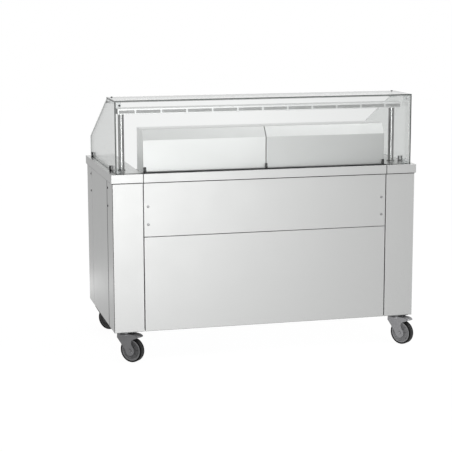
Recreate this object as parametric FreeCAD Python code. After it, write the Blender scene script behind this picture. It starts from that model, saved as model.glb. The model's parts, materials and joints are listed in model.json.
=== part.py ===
import FreeCAD, Part
import math
import os

# Mobile front-cooking station: a stainless cabinet on four castors with a glass screen,
# two suction hoods behind the screen and an open bay for table-top appliances.
# Customers stand at -Y and the cook at +Y; left and right are as a customer sees them.

V = FreeCAD.Vector
TOUCH = 0.01
X_AXIS = V(1, 0, 0)
Y_AXIS = V(0, 1, 0)
Z_AXIS = V(0, 0, 1)
LEFT, RIGHT = -1, 1

# Cabinet, in millimetres
BODY_WIDTH = 1590.0
BODY_DEPTH = 820.0
BODY_HEIGHT = 758.0
CASTOR_HEIGHT = 160.0
SHEET = 2.0
HEM = 18.0
SEAM = 4.0
PANEL_SEAM = 2.0
COLUMN_WIDTH = 154.0
COLUMN_DEPTH = 156.0
COLUMN_LANDING = 44.0
TONGUE_REACH = 46.0
TONGUE_MARGIN = 30.0
SPLIT_HEIGHT = 483.0
FLOOR_SHEET = 3.0

# Counter and appliance bay
SKIRT = 45.0
SIDE_OVERHANG = 6.0
END_OVERHANG = 9.0
LIP_GAP = 0.5
BAY_DEPTH = 318.0
PLENUM_DEPTH = 194.0
SHELF_SHEET = 3.0
BAY_FLANGE = 20.0

# Suction hoods and their grease filters
HOOD_INSET = 7.0
HOOD_GAP = 3.0
HOOD_SETBACK = 23.0
HOOD_DEPTH = 163.0
HOOD_SHOULDER = 162.0
HOOD_HEIGHT = 213.0
HOOD_CHAMFER = 38.0
MOUTH_BORDER = 28.0
DUCT_BORDER = 46.0
FILTER_CLEARANCE = 0.3
FILTER_DEPTH = 18.0
FILTER_FRAME = 12.0
BAFFLE_PITCH = 22.0
BAFFLE_WIDTH = 15.0
BAFFLE_SHEET = 3.0
TAB_WIDTH = 60.0
TAB_REACH = 16.0
TAB_INSET = 144.0
SEAL_HEIGHT = 8.0
SEAL_DEPTH = 3.0
CLIP_WIDTH = 10.0
CLIP_HEIGHT = 28.0
CLIP_DEPTH = 5.0

# Glass screen
GLASS = 8.0
GLASS_RISE = 363.0
GLASS_SIDE_INSET = 20.0
GLASS_FRONT_INSET = 8.0
TOP_GLASS_DEPTH = 242.0
PANE_REAR_MARGIN = 14.0
PANE_REAR_RISE = 108.0
PANE_GAP = 0.5
CLAMP_LENGTH = 9.0
CLAMP_HEIGHT = 27.0
CLAMP_JAW = 8.0
CLAMP_WEB = 3.0
CLAMP_PLAY = 0.2
CLAMP_FRONT = 147.0
CLAMP_REAR = 739.0
CONNECTOR = 26.0
CONNECTOR_SCREW = 16.0

# Posts and lamp rail
POST_RADIUS = 15.0
POST_WALL = 2.0
POST_INSET = 75.0
POST_SETBACK = 153.0
POST_RING = 5.0
POST_RING_HEIGHT = 4.0
RAIL_INSET = 48.0
RAIL_SETBACK = 84.0
RAIL_DEPTH = 88.0
RAIL_RISE = 316.0
RAIL_HEIGHT = 28.0
SLOT_COUNT = 10
SLOT_LENGTH = 122.0
SLOT_BRIDGE = 9.5
SLOT_HEIGHT = 15.0
SLOT_RISE = 300.0
END_SLOT_LENGTH = 38.0
LAMP_COUNT = 3
LAMP_LENGTH = 430.0
LAMP_WIDTH = 34.0
LAMP_HEIGHT = 13.0
LAMP_ROUNDING = 0.4
LAMP_SETBACK = 120.0

# Button screws
SCREW_RADIUS = 3.0
SCREW_HEAD_RADIUS = 5.5
SCREW_HEAD_HEIGHT = 3.0
PANEL_SCREW_LENGTH = 26.0
GLASS_SCREW_LENGTH = 16.0
SCREW_PLAY = 0.2
FRONT_SCREW_INSET = 25.5
FRONT_SCREW_HEIGHTS = (546.0, 637.0)
SIDE_SCREW_INSET = 20.0
HEAD_ROUNDING = 0.6
SIDE_SCREW_HEIGHTS = (628.0, 720.0)

# Castors
CASTOR_INSET_X = 66.0
CASTOR_INSET_Y = 55.0
CASTOR_TRAIL = 40.0
FRONT_LEFT_TURN = 43.5
FRONT_RIGHT_TURN = 55.0
REAR_LEFT_TURN = 45.0
REAR_RIGHT_TURN = 56.0
WHEEL_RADIUS = 62.5
TYRE_WIDTH = 36.0
TYRE_SHOULDER = 6.0
TYRE_BEAD = 30.0
RIM_RADIUS = 55.0
RIM_WIDTH = 28.0
RIM_LAND = 9.0
WEB_WIDTH = 20.0
BOSS_RADIUS = 13.0
BOSS_GAP = 1.0
AXLE_RADIUS = 5.0
AXLE_HEAD_RADIUS = 9.0
AXLE_HEAD = 4.0
RUNNING_PLAY = 0.05
PIN_END_GAP = 1.0
CASTOR_PLATE_X = 104.0
CASTOR_PLATE_Y = 84.0
CASTOR_PLATE = 5.0
RACE_RADIUS = 30.0
RACE_HEIGHT = 8.0
RACE_GAP = 0.3
CROWN_RADIUS = 38.0
CROWN_HEIGHT = 10.0
KINGPIN_RADIUS = 6.0
KINGPIN_NUT_RADIUS = 11.0
KINGPIN_NUT = 8.0
CHEEK = 5.0
CHEEK_CLEARANCE = 4.0
CHEEK_BACK = 33.0
CHEEK_FRONT = 54.0
CHEEK_BACK_DROP = 22.0
CHEEK_FRONT_DROP = 16.0
EYE_RADIUS = 27.0
BOLT_RADIUS = 4.0
BOLT_PLAY = 0.5
BOLT_HEAD_RADIUS = 7.0
BOLT_HEAD = 5.0
BOLT_SPACING_X = 80.0
BOLT_SPACING_Y = 52.0
NUT_HEIGHT = 6.0

# Brake pedals on the two front castors
PEDAL_PIVOT = 46.0
PEDAL_PIVOT_DROP = 8.7
PEDAL_BARREL_RADIUS = 6.0
PEDAL_PIN_RADIUS = 3.0
PEDAL_SIDE_GAP = 3.0
PEDAL_REACH = 98.0
PEDAL_WIDE_FROM = 60.0
PEDAL_WIDE = 44.0
PEDAL_SHEET = 5.0
PEDAL_STEP = 1.0
PEDAL_TIP_DROP = 3.0
SHOE_START = 4.0
SHOE_LENGTH = 12.0
SHOE_GAP = 2.8

# Rear doors
DOOR_HEIGHT = 384.0
DOOR_DEPTH = 18.0
DOOR_GAP = 4.0
DOOR_FLOOR_GAP = 5.0
PIVOT_INSET = 14.0
PIVOT_SETBACK = 9.0
PIVOT_RADIUS = 4.0
PIVOT_DEPTH = 16.0
PIVOT_BLOCK = 28.0
HANDLE_REACH = 37.0
HANDLE_BAR = 11.0
HANDLE_ROUNDING = 0.25
HANDLE_LENGTH = 170.0
HANDLE_INSET = 48.0

# Control strip on the cook's side
CONTROL_GAP = 4.0
SWITCH_INSET = 167.0
FAN_KNOB_INSET = 307.0
ROCKER_INSET = 427.0
SOCKET_INSETS = (487.0, 307.0)
BEZEL_SIDE = 56.0
BEZEL = 4.0
SWITCH_KNOB_RADIUS = 21.0
FAN_KNOB_RADIUS = 17.0
KNOB_HEIGHT = 9.0
GRIP_WIDTH = 9.0
GRIP_HEIGHT = 10.0
KNOB_LIFT = 0.3
SPINDLE_RADIUS = 5.0
SPINDLE_LENGTH = 16.0
SPINDLE_HOLE_PLAY = 1.0
ROCKER_RADIUS = 9.0
ROCKER_LENGTH = 21.0
ROCKER_TILT = 7.0
ROCKER_PIN_RADIUS = 2.0
ROCKER_WALL = 3.2
ROCKER_PLAY = 0.3
SOCKET_RECESS_RADIUS = 20.0
SOCKET_CUP_RADIUS = 24.0
SOCKET_CUP_DEPTH = 20.0
SOCKET_RECESS_DEPTH = 17.0
CONTACT_RADIUS = 2.5
CONTACT_SPACING = 19.0
CONTACT_FLOOR = 1.0
LID = 4.0
LID_LIFT = 0.6
LID_BARREL_RADIUS = 3.5
LID_PIN_RADIUS = 1.5
EAR_WIDTH = 5.0
EAR_HEIGHT = 8.0
LID_EAR_GAP = 0.3
GLAND_RADIUS = 14.0
GLAND_REACH = 15.0
GLAND_CAP_RADIUS = 10.0
GLAND_CAP_REACH = 8.0
GLAND_HEIGHT = 70.0

# Fan and filter under the bay
FAN_X = -330.0
FAN_Y = -20.0
MOTOR_RADIUS = 60.0
MOTOR_HEIGHT = 90.0
MOTOR_FOOT = 170.0
MOTOR_FOOT_SHEET = 5.0
SHAFT_RADIUS = 6.0
SCROLL_RADIUS = 165.0
SCROLL_HEIGHT = 130.0
SCROLL_INLET_RADIUS = 85.0
SPOUT_WIDTH = 150.0
SPOUT_HEIGHT = 90.0
SPOUT_REACH = 60.0
IMPELLER_RADIUS = 130.0
IMPELLER_HEIGHT = 84.0
IMPELLER_GAP = 14.0
IMPELLER_SHEET = 3.0
IMPELLER_HUB_RADIUS = 16.0
BLADE_COUNT = 24
BLADE_LENGTH = 32.0
CARBON_SIDE = 400.0
CARBON_HEIGHT = 110.0
CARBON_PLATE_COUNT = 13
CARBON_PLATE = 4.0
CARBON_MARGIN = 8.0
VENT_COUNT = 9
VENT_LENGTH = 260.0
VENT_WIDTH = 8.0
VENT_PITCH = 20.0
VENT_FRONT = 90.0

# Levels and edges that several pieces share
half_w = BODY_WIDTH / 2
half_d = BODY_DEPTH / 2
z_body = CASTOR_HEIGHT
z_floor = z_body + SHEET
z_floor_top = z_floor + FLOOR_SHEET
z_split = z_body + SPLIT_HEIGHT
z_skirt = z_body + BODY_HEIGHT
z_counter = z_skirt + SKIRT
z_under = z_counter - SHEET
bay_half = half_w - COLUMN_WIDTH
y_fold = -half_d + COLUMN_DEPTH
fascia_half = bay_half - SEAM / 2
panel_half = bay_half - SEAM
counter_half_w = half_w + SIDE_OVERHANG
counter_half_d = half_d + END_OVERHANG
bay_front = -half_d + PLENUM_DEPTH
z_shelf_top = z_counter - BAY_DEPTH
z_shelf = z_shelf_top - SHELF_SHEET
z_flange = z_shelf - SHEET
z_glass = z_counter + GLASS_RISE
z_glass_under = z_glass - GLASS
glass_half = half_w - GLASS_SIDE_INSET
glass_front = -half_d + GLASS_FRONT_INSET
pane_inner = glass_half - GLASS
z_door = z_floor_top + DOOR_FLOOR_GAP
z_door_top = z_door + DOOR_HEIGHT
z_control = z_door_top + CONTROL_GAP
z_control_mid = (z_control + z_flange) / 2
switch_x = -panel_half + SWITCH_INSET
fan_knob_x = -panel_half + FAN_KNOB_INSET
rocker_x = -panel_half + ROCKER_INSET
socket_places = [panel_half - inset for inset in SOCKET_INSETS]
rail_front = -half_d + RAIL_SETBACK
rail_rear = rail_front + RAIL_DEPTH
rail_half = half_w - RAIL_INSET
z_rail = z_counter + RAIL_RISE
z_rail_under = z_rail - SHEET

os.makedirs("parts", exist_ok=True)


def box(x0, x1, y0, y1, z0, z1):
    """A block between two corners given in any order."""
    low = V(min(x0, x1), min(y0, y1), min(z0, z1))
    return Part.makeBox(abs(x1 - x0), abs(y1 - y0), abs(z1 - z0), low)


def rod(radius, start, axis, length):
    return Part.makeCylinder(radius, length, start, axis)


def join(*shapes):
    """One solid from pieces that are welded or moulded together."""
    return shapes[0].multiFuse(list(shapes[1:])).removeSplitter()


def cut(shape, *tools):
    for tool in tools:
        shape = shape.cut(tool)
    return shape


def prism(points, sweep):
    """A straight prism over a closed outline."""
    wire = Part.makePolygon(points + [points[0]])
    return Part.Face(wire).extrude(sweep)


def save(node, *solids):
    shape = solids[0] if len(solids) == 1 else Part.makeCompound(list(solids))
    shape.exportStep("parts/" + node + ".step")


def screw(seat, inward, length):
    """A button screw: its head stands on the seat and its shank goes inward."""
    head = rod(SCREW_HEAD_RADIUS, seat, inward * -1, SCREW_HEAD_HEIGHT)
    crown = seat - inward * SCREW_HEAD_HEIGHT
    top = [e for e in head.Edges if (e.CenterOfMass - crown).Length < TOUCH]
    head = head.makeFillet(SCREW_HEAD_HEIGHT * HEAD_ROUNDING, top)
    return join(head, rod(SCREW_RADIUS, seat, inward, length))


def screw_hole(seat, inward, length):
    return rod(SCREW_RADIUS + SCREW_PLAY, seat - inward * length, inward, length * 2)


def panel_screw_seats(side):
    """Seats of the screws in the front panel's end and in the cabinet's side."""
    front = [(V(side * (bay_half - FRONT_SCREW_INSET), -half_d, z_body + h), Y_AXIS, PANEL_SCREW_LENGTH)
             for h in FRONT_SCREW_HEIGHTS]
    flank = [(V(side * half_w, y, z_body + h), X_AXIS * -side, PANEL_SCREW_LENGTH)
             for y in (y_fold - SIDE_SCREW_INSET, -y_fold + SIDE_SCREW_INSET) for h in SIDE_SCREW_HEIGHTS]
    return front + flank


def glass_screw_seats(side):
    """Seats of the screws that hold the glass to its corner connectors."""
    x = side * (pane_inner - CONNECTOR_SCREW)
    front_seats = [V(x, glass_front, z_glass_under - CONNECTOR_SCREW),
                   V(x, glass_front, z_counter + CONNECTOR_SCREW + SCREW_HEAD_RADIUS)]
    rear = glass_front + TOP_GLASS_DEPTH - CONNECTOR_SCREW
    seats = [(seat, Y_AXIS, GLASS_SCREW_LENGTH) for seat in front_seats]
    seats.append((V(side * glass_half, rear, z_glass_under - CONNECTOR_SCREW), X_AXIS * -side,
                  GLASS_SCREW_LENGTH))
    seats.append((V(x, rear, z_glass), Z_AXIS * -1, GLASS_SCREW_LENGTH))
    return seats


def drill_screws(shape, seats):
    return cut(shape, *[screw_hole(*seat) for seat in seats])


def castor_axis(side, end):
    """Plan position of a castor's swivel; end is -1 at the front and 1 at the rear."""
    return V(side * (half_w - CASTOR_INSET_X), end * (half_d - CASTOR_INSET_Y), 0)


def castor_bolt_points(side, end):
    centre = castor_axis(side, end)
    offsets = [(i, j) for i in (-0.5, 0.5) for j in (-0.5, 0.5)]
    return [centre + V(i * BOLT_SPACING_X, j * BOLT_SPACING_Y, 0) for i, j in offsets]


def bolt_hole(point):
    return rod(BOLT_RADIUS + BOLT_PLAY, V(point.x, point.y, 0), Z_AXIS, z_counter)


def make_column(side, end):
    """A folded corner column: two faces, a stiff edge on each and a plate for the castor."""
    x_out, x_in = side * half_w, side * bay_half
    y_out, y_in = end * half_d, end * (half_d - COLUMN_DEPTH)
    face = box(x_out, x_in, y_out, y_out - end * SHEET, z_body, z_under)
    flank = box(x_out, x_out - side * SHEET, y_out, y_in, z_body, z_under)
    edge = box(x_in, x_in + side * SHEET, y_out, y_out - end * HEM, z_body, z_under)
    side_edge = box(x_out, x_out - side * HEM, y_in, y_in + end * SHEET, z_body, z_under)
    foot = box(x_out, x_in, y_out, y_in, z_body, z_floor)
    pieces = [face, flank, edge, side_edge, foot]
    if end < 0:
        y_land = y_out + HEM
        landing = box(x_in + side * SHEET, x_in - side * COLUMN_LANDING, y_land, y_land + SHEET,
                      z_split + HEM, z_under - HEM)
        web = box(x_in, x_in + side * SHEET, y_out, y_land + SHEET, z_split + HEM, z_under - HEM)
        pieces += [landing, web]
    column = join(*pieces)
    column = drill_screws(column, panel_screw_seats(side))
    return cut(column, *[bolt_hole(p) for p in castor_bolt_points(side, end)])


def tongue(side, end):
    """A strip from a side panel to behind a column's edge, which the column's screws hold."""
    x = side * (half_w - HEM)
    y = end * (half_d - COLUMN_DEPTH - SEAM)
    z_low = z_body + min(SIDE_SCREW_HEIGHTS) - TONGUE_MARGIN
    z_high = z_body + max(SIDE_SCREW_HEIGHTS) + TONGUE_MARGIN
    return box(x, x - side * SHEET, y - end * SHEET, y + end * TONGUE_REACH, z_low, z_high)


def make_columns():
    for name, side in (("left", LEFT), ("right", RIGHT)):
        save("front_" + name + "_column", make_column(side, -1))
        rear = make_column(side, 1)
        if side == LEFT:
            rear = cut(rear, rod(GLAND_CAP_RADIUS, gland_seat() - Y_AXIS * HEM, Y_AXIS, HEM * 2))
        save("rear_" + name + "_column", rear)


def pan(x0, x1, y_face, inward, z0, z1, depth):
    """A sheet panel facing Y, with its four edges folded inward."""
    outer = box(x0, x1, y_face, y_face + inward * depth, z0, z1)
    hollow = box(x0 + SHEET, x1 - SHEET, y_face + inward * SHEET, y_face + inward * depth * 2,
                 z0 + SHEET, z1 - SHEET)
    return outer.cut(hollow)


def make_front_panels():
    seats = panel_screw_seats(LEFT) + panel_screw_seats(RIGHT)
    upper = pan(-panel_half, panel_half, -half_d, 1, z_split + PANEL_SEAM / 2, z_under, HEM)
    lower = pan(-panel_half, panel_half, -half_d, 1, z_body, z_split - PANEL_SEAM / 2, HEM)
    save("front_upper_panel", drill_screws(upper, seats))
    save("front_lower_panel", lower)


def make_side_panels():
    y_end = half_d - COLUMN_DEPTH - SEAM
    for name, side in (("left", LEFT), ("right", RIGHT)):
        x = side * half_w
        skin = box(x, x - side * SHEET, -y_end, y_end, z_body, z_under)
        folds = [box(x, x - side * HEM, y, y - math.copysign(SHEET, y), z_body, z_under)
                 for y in (-y_end, y_end)]
        hems = [box(x, x - side * HEM, -y_end, y_end, z, z + SHEET) for z in (z_body, z_under - SHEET)]
        panel = join(skin, *folds, *hems, tongue(side, -1), tongue(side, 1))
        save(name + "_side_panel", drill_screws(panel, panel_screw_seats(side)))


def make_floor():
    """The cabinet's floor, with slots through which the cleaned air leaves."""
    play = SHEET + LIP_GAP
    tail = half_d - play
    plate = box(-half_w + play, half_w - play, -tail, tail, z_floor, z_floor_top)
    x_corner = panel_half - SHEET - LIP_GAP
    y_corner = half_d - HEM - play
    y_inner = half_d - COLUMN_DEPTH - SEAM - play
    y_outer = half_d - COLUMN_DEPTH + play
    notches = []
    for side in (LEFT, RIGHT):
        for end in (-1, 1):
            notches.append(box(side * x_corner, side * half_w, end * y_corner, end * half_d,
                               z_floor, z_floor_top))
            notches.append(box(side * half_w, side * (half_w - HEM - play), end * y_inner, end * y_outer,
                               z_floor, z_floor_top))
    plate = cut(plate, *notches)
    rear_hem = box(-panel_half, panel_half, tail - HEM, tail, z_body, z_floor_top)
    plate = join(plate, rear_hem)
    first = -half_d + VENT_FRONT
    vents = [box(FAN_X - VENT_LENGTH / 2, FAN_X + VENT_LENGTH / 2, first + i * VENT_PITCH,
                 first + i * VENT_PITCH + VENT_WIDTH, z_body, z_counter) for i in range(VENT_COUNT)]
    bolts = [bolt_hole(p) for side in (LEFT, RIGHT) for end in (-1, 1)
             for p in castor_bolt_points(side, end)]
    save("floor_panel", cut(plate, *vents, *bolts, *door_pin_holes()))


def make_counters():
    """The two end counters: folded tops with a skirt and a narrow lip under it."""
    for name, side in (("left", LEFT), ("right", RIGHT)):
        x_out, x_in = side * counter_half_w, side * bay_half
        block = box(x_out, x_in, -counter_half_d, counter_half_d, z_skirt, z_counter)
        hollow = box(x_out - side * SHEET, x_in - side * SHEET, -counter_half_d + SHEET,
                     counter_half_d - SHEET, z_skirt + SHEET, z_under)
        mouth = box(side * (half_w + LIP_GAP), x_in - side * SHEET, -half_d - LIP_GAP,
                    half_d + LIP_GAP, z_skirt - SHEET, z_skirt + SHEET)
        save(name + "_counter", cut(block, hollow, mouth))


def make_front_fascia():
    """The fascia between the end counters; the hoods stand on it over two air openings."""
    block = box(-fascia_half, fascia_half, -counter_half_d, bay_front, z_skirt, z_counter)
    hollow = box(-counter_half_w, counter_half_w, -counter_half_d + SHEET, half_d,
                 z_skirt + SHEET, z_under)
    mouth = box(-counter_half_w, counter_half_w, -half_d - LIP_GAP, half_d, z_skirt - SHEET,
                z_skirt + SHEET)
    ducts = []
    for side in (LEFT, RIGHT):
        x_near, x_far = hood_span(side)
        ducts.append(box(x_near + side * DUCT_BORDER, x_far - side * DUCT_BORDER,
                         hood_front() + DUCT_BORDER, hood_front() + HOOD_DEPTH - DUCT_BORDER,
                         z_skirt, z_counter + SHEET))
    save("front_fascia", cut(block, hollow, mouth, *ducts))


def make_bay():
    """The sunk appliance bay: a shelf on flanged walls, open above and towards the cook."""
    wall_end = half_d - HEM - LIP_GAP
    walls = []
    for side in (LEFT, RIGHT):
        x = side * bay_half
        wall = box(x, x + side * SHEET, bay_front, wall_end, z_flange, z_under)
        flange = box(x + side * SHEET, x - side * BAY_FLANGE, bay_front + BAY_FLANGE + LIP_GAP, wall_end,
                     z_flange, z_shelf)
        walls.append(join(wall, flange))
    front = box(-bay_half, bay_half, bay_front - SHEET, bay_front, z_flange, z_under)
    ledge = box(-bay_half, bay_half, bay_front - SHEET, bay_front + BAY_FLANGE, z_flange, z_shelf)
    walls.append(join(front, ledge))
    save("bay_walls", *walls)
    rear = half_d - LIP_GAP
    shelf = box(-bay_half + LIP_GAP, bay_half - LIP_GAP, bay_front + LIP_GAP, rear, z_shelf, z_shelf_top)
    save("device_shelf", shelf)


def hood_front():
    return -half_d + HOOD_SETBACK


def hood_span(side):
    """A hood's inner and outer end along X."""
    return side * HOOD_GAP / 2, side * (bay_half - HOOD_INSET)


def hood_outline(inset):
    """Section of a hood's shell in Y and Z, moved inward by its wall."""
    y0, y1 = hood_front(), hood_front() + HOOD_DEPTH
    slope = math.atan2(HOOD_HEIGHT - HOOD_SHOULDER, HOOD_CHAMFER)
    shoulder_drop = inset * math.tan((math.pi / 2 - slope) / 2)
    roof_shift = inset * math.tan(slope / 2)
    base = z_counter if inset == 0 else z_counter - SHEET
    return [(y0 + inset, base), (y1 - inset, base), (y1 - inset, z_counter + HOOD_HEIGHT - inset),
            (y0 + HOOD_CHAMFER + roof_shift, z_counter + HOOD_HEIGHT - inset),
            (y0 + inset, z_counter + HOOD_SHOULDER - shoulder_drop)]


def mouth_span(side):
    """The hood's opening towards the cook, in X and Z."""
    x_near, x_far = hood_span(side)
    return (x_near + side * MOUTH_BORDER, x_far - side * MOUTH_BORDER,
            z_counter + MOUTH_BORDER, z_counter + HOOD_HEIGHT - MOUTH_BORDER)


def make_hoods():
    for name, side in (("left", LEFT), ("right", RIGHT)):
        x_near, x_far = hood_span(side)
        shell = prism([V(x_near, y, z) for y, z in hood_outline(0)], V(x_far - x_near, 0, 0))
        room = prism([V(x_near + side * SHEET, y, z) for y, z in hood_outline(SHEET)],
                     V(x_far - x_near - 2 * side * SHEET, 0, 0))
        x0, x1, z0, z1 = mouth_span(side)
        y_rear = hood_front() + HOOD_DEPTH
        mouth = box(x0, x1, y_rear - SHEET * 2, y_rear + SHEET, z0, z1)
        ledge = box(x0, x1, y_rear - SHEET, y_rear - FILTER_DEPTH, z0 - SHEET, z0)
        hood = join(cut(shell, room, mouth), ledge)
        save(name + "_hood", hood)
        save(name + "_grease_filter", make_grease_filter(x0, x1, z0, z1, y_rear))


def make_grease_filter(x0, x1, z0, z1, y_rear):
    """A frame with two rows of upright baffles that overlap, and two pull tabs."""
    left, right = min(x0, x1) + FILTER_CLEARANCE, max(x0, x1) - FILTER_CLEARANCE
    low, high = z0 + FILTER_CLEARANCE, z1 - FILTER_CLEARANCE
    back = y_rear + SHEET
    front = back - FILTER_DEPTH
    frame = box(left, right, front, back, low, high)
    opening = box(left + FILTER_FRAME, right - FILTER_FRAME, front - SHEET, back + SHEET,
                  low + FILTER_FRAME, high - FILTER_FRAME)
    pieces = [frame.cut(opening)]
    inner = right - left - 2 * FILTER_FRAME
    count = int(inner // BAFFLE_PITCH)
    start = left + FILTER_FRAME + (inner - count * BAFFLE_PITCH) / 2
    for i in range(count):
        x = start + (i + 0.5) * BAFFLE_PITCH
        y = back - BAFFLE_SHEET * 2 if i % 2 == 0 else front + BAFFLE_SHEET
        reach = BAFFLE_WIDTH if i % 2 == 0 else BAFFLE_PITCH
        pieces.append(box(x - reach / 2, x + reach / 2, y, y + BAFFLE_SHEET, low, high))
    for x in (left + TAB_INSET, right - TAB_INSET):
        pieces.append(box(x - TAB_WIDTH / 2, x + TAB_WIDTH / 2, back, back + TAB_REACH,
                          low + FILTER_FRAME / 2, low + FILTER_FRAME / 2 + BAFFLE_SHEET))
    return join(*pieces)


def make_glass():
    front = box(-glass_half, glass_half, glass_front, glass_front + GLASS, z_counter, z_glass_under)
    top = box(-glass_half, glass_half, glass_front, glass_front + TOP_GLASS_DEPTH, z_glass_under, z_glass)
    y_front = glass_front + GLASS + PANE_GAP
    y_rear = counter_half_d - PANE_REAR_MARGIN
    y_top = glass_front + TOP_GLASS_DEPTH
    base = z_counter + CLAMP_WEB
    outline = [(y_front, base), (y_rear, base), (y_rear, z_counter + PANE_REAR_RISE),
               (y_top, z_glass_under), (y_front, z_glass_under)]
    seats = glass_screw_seats(LEFT) + glass_screw_seats(RIGHT)
    save("front_glass", drill_screws(front, seats))
    save("top_glass", drill_screws(top, seats))
    for name, side in (("left", LEFT), ("right", RIGHT)):
        pane = prism([V(side * glass_half, y, z) for y, z in outline], V(-side * GLASS, 0, 0))
        save(name + "_glass", drill_screws(pane, seats))


def make_connectors():
    """Clear blocks in the corners of the screen, which the glass is screwed to."""
    blocks = []
    y_front = glass_front + GLASS
    y_rear = glass_front + TOP_GLASS_DEPTH - CONNECTOR
    top, low = z_glass_under - CONNECTOR, z_counter
    for side in (LEFT, RIGHT):
        x = side * pane_inner
        for y, z in ((y_front, top), (y_front, low), (y_rear, top)):
            block = box(x, x - side * CONNECTOR, y, y + CONNECTOR, z, z + CONNECTOR)
            blocks.append(drill_screws(block, glass_screw_seats(side)))
    save("glass_connectors", *blocks)


def make_fasteners():
    """All loose fasteners: the button screws and the bolts of the castor plates."""
    pieces = []
    for side in (LEFT, RIGHT):
        pieces += [screw(*seat) for seat in panel_screw_seats(side) + glass_screw_seats(side)]
        for end in (-1, 1):
            pieces += [make_bolt(point) for point in castor_bolt_points(side, end)]
    save("fasteners", *pieces)


def post_centre(side):
    return V(side * (half_w - POST_INSET), -half_d + POST_SETBACK, z_counter)


def make_posts_and_rail():
    """Two tubes on the counters carry a folded rail with a row of long slots."""
    posts = []
    for side in (LEFT, RIGHT):
        base = post_centre(side)
        length = z_rail_under - z_counter
        posts.append(cut(rod(POST_RADIUS, base, Z_AXIS, length),
                         rod(POST_RADIUS - POST_WALL, base, Z_AXIS, length)))
    save("posts", *posts)
    block = box(-rail_half, rail_half, rail_front, rail_rear, z_rail - RAIL_HEIGHT, z_rail)
    room = box(-rail_half + SHEET, rail_half - SHEET, rail_front + SHEET, rail_rear - SHEET,
               z_rail - RAIL_HEIGHT * 2, z_rail_under)
    z_slot = z_counter + SLOT_RISE
    pitch = SLOT_LENGTH + SLOT_BRIDGE
    start = -pitch * SLOT_COUNT / 2 + SLOT_BRIDGE / 2
    spans = [(start + i * pitch, start + i * pitch + SLOT_LENGTH) for i in range(SLOT_COUNT)]
    spans.append((start - SLOT_BRIDGE - END_SLOT_LENGTH, start - SLOT_BRIDGE))
    spans.append((-start + SLOT_BRIDGE, -start + SLOT_BRIDGE + END_SLOT_LENGTH))
    slots = [box(a, b, rail_front - SHEET, rail_front + SHEET * 2, z_slot - SLOT_HEIGHT / 2,
                 z_slot + SLOT_HEIGHT / 2) for a, b in spans]
    save("light_rail", cut(block, room, *slots))
    lamps = []
    y_lamp = -half_d + LAMP_SETBACK
    lamp_pitch = 2 * (rail_half - POST_INSET) / LAMP_COUNT
    for i in range(LAMP_COUNT):
        x = (i - (LAMP_COUNT - 1) / 2) * lamp_pitch
        lamp = box(x - LAMP_LENGTH / 2, x + LAMP_LENGTH / 2, y_lamp - LAMP_WIDTH / 2,
                   y_lamp + LAMP_WIDTH / 2, z_rail_under - LAMP_HEIGHT, z_rail_under)
        long_edges = [e for e in lamp.Edges if e.Length > LAMP_LENGTH / 2
                      and e.CenterOfMass.z < z_rail_under - LAMP_HEIGHT / 2]
        lamps.append(lamp.makeFillet(LAMP_HEIGHT * LAMP_ROUNDING, long_edges))
    save("lamp_strips", *lamps)


def make_seals():
    """Black rubber and plastic: hood seal with corner clips, post rings and pane clamps."""
    y0 = hood_front()
    reach = bay_half - HOOD_INSET
    clips = [box(x - CLIP_WIDTH / 2, x + CLIP_WIDTH / 2, y0 - CLIP_DEPTH, y0, z_counter,
                 z_counter + CLIP_HEIGHT)
             for x in (-reach + CLIP_WIDTH / 2, 0, reach - CLIP_WIDTH / 2)]
    strips = [box(side * CLIP_WIDTH / 2, side * (reach - CLIP_WIDTH), y0 - SEAL_DEPTH, y0, z_counter,
                  z_counter + SEAL_HEIGHT) for side in (LEFT, RIGHT)]
    rings = []
    for side in (LEFT, RIGHT):
        base = post_centre(side)
        rings.append(cut(rod(POST_RADIUS + POST_RING, base, Z_AXIS, POST_RING_HEIGHT),
                         rod(POST_RADIUS, base, Z_AXIS, POST_RING_HEIGHT)))
    clamps = []
    for side in (LEFT, RIGHT):
        for y in (CLAMP_FRONT, CLAMP_REAR):
            mid = -half_d + y
            clamp = box(side * (glass_half + CLAMP_JAW), side * (pane_inner - CLAMP_JAW),
                        mid - CLAMP_LENGTH / 2, mid + CLAMP_LENGTH / 2, z_counter, z_counter + CLAMP_HEIGHT)
            groove = box(side * (glass_half + CLAMP_PLAY), side * (pane_inner - CLAMP_PLAY),
                         mid - CLAMP_LENGTH, mid + CLAMP_LENGTH, z_counter + CLAMP_WEB,
                         z_counter + CLAMP_HEIGHT * 2)
            clamps.append(clamp.cut(groove))
    save("seals_and_clamps", *clips, *strips, *rings, *clamps)


def place_castor(shape, side, end, turn):
    """Turn a castor piece from its own frame, with +X along the trail, to its corner."""
    placed = shape.copy()
    placed.rotate(V(0, 0, 0), Z_AXIS, -turn)
    placed.translate(castor_axis(side, end))
    return placed


cheek_inner = TYRE_WIDTH / 2 + CHEEK_CLEARANCE
cheek_outer = cheek_inner + CHEEK
z_race = CASTOR_HEIGHT - CASTOR_PLATE - RACE_HEIGHT
z_crown_top = z_race - RACE_GAP
z_crown = z_crown_top - CROWN_HEIGHT
axle_centre = V(CASTOR_TRAIL, 0, WHEEL_RADIUS)
pedal_pivot = V(PEDAL_PIVOT, 0, z_crown_top - PEDAL_PIVOT_DROP)


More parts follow.
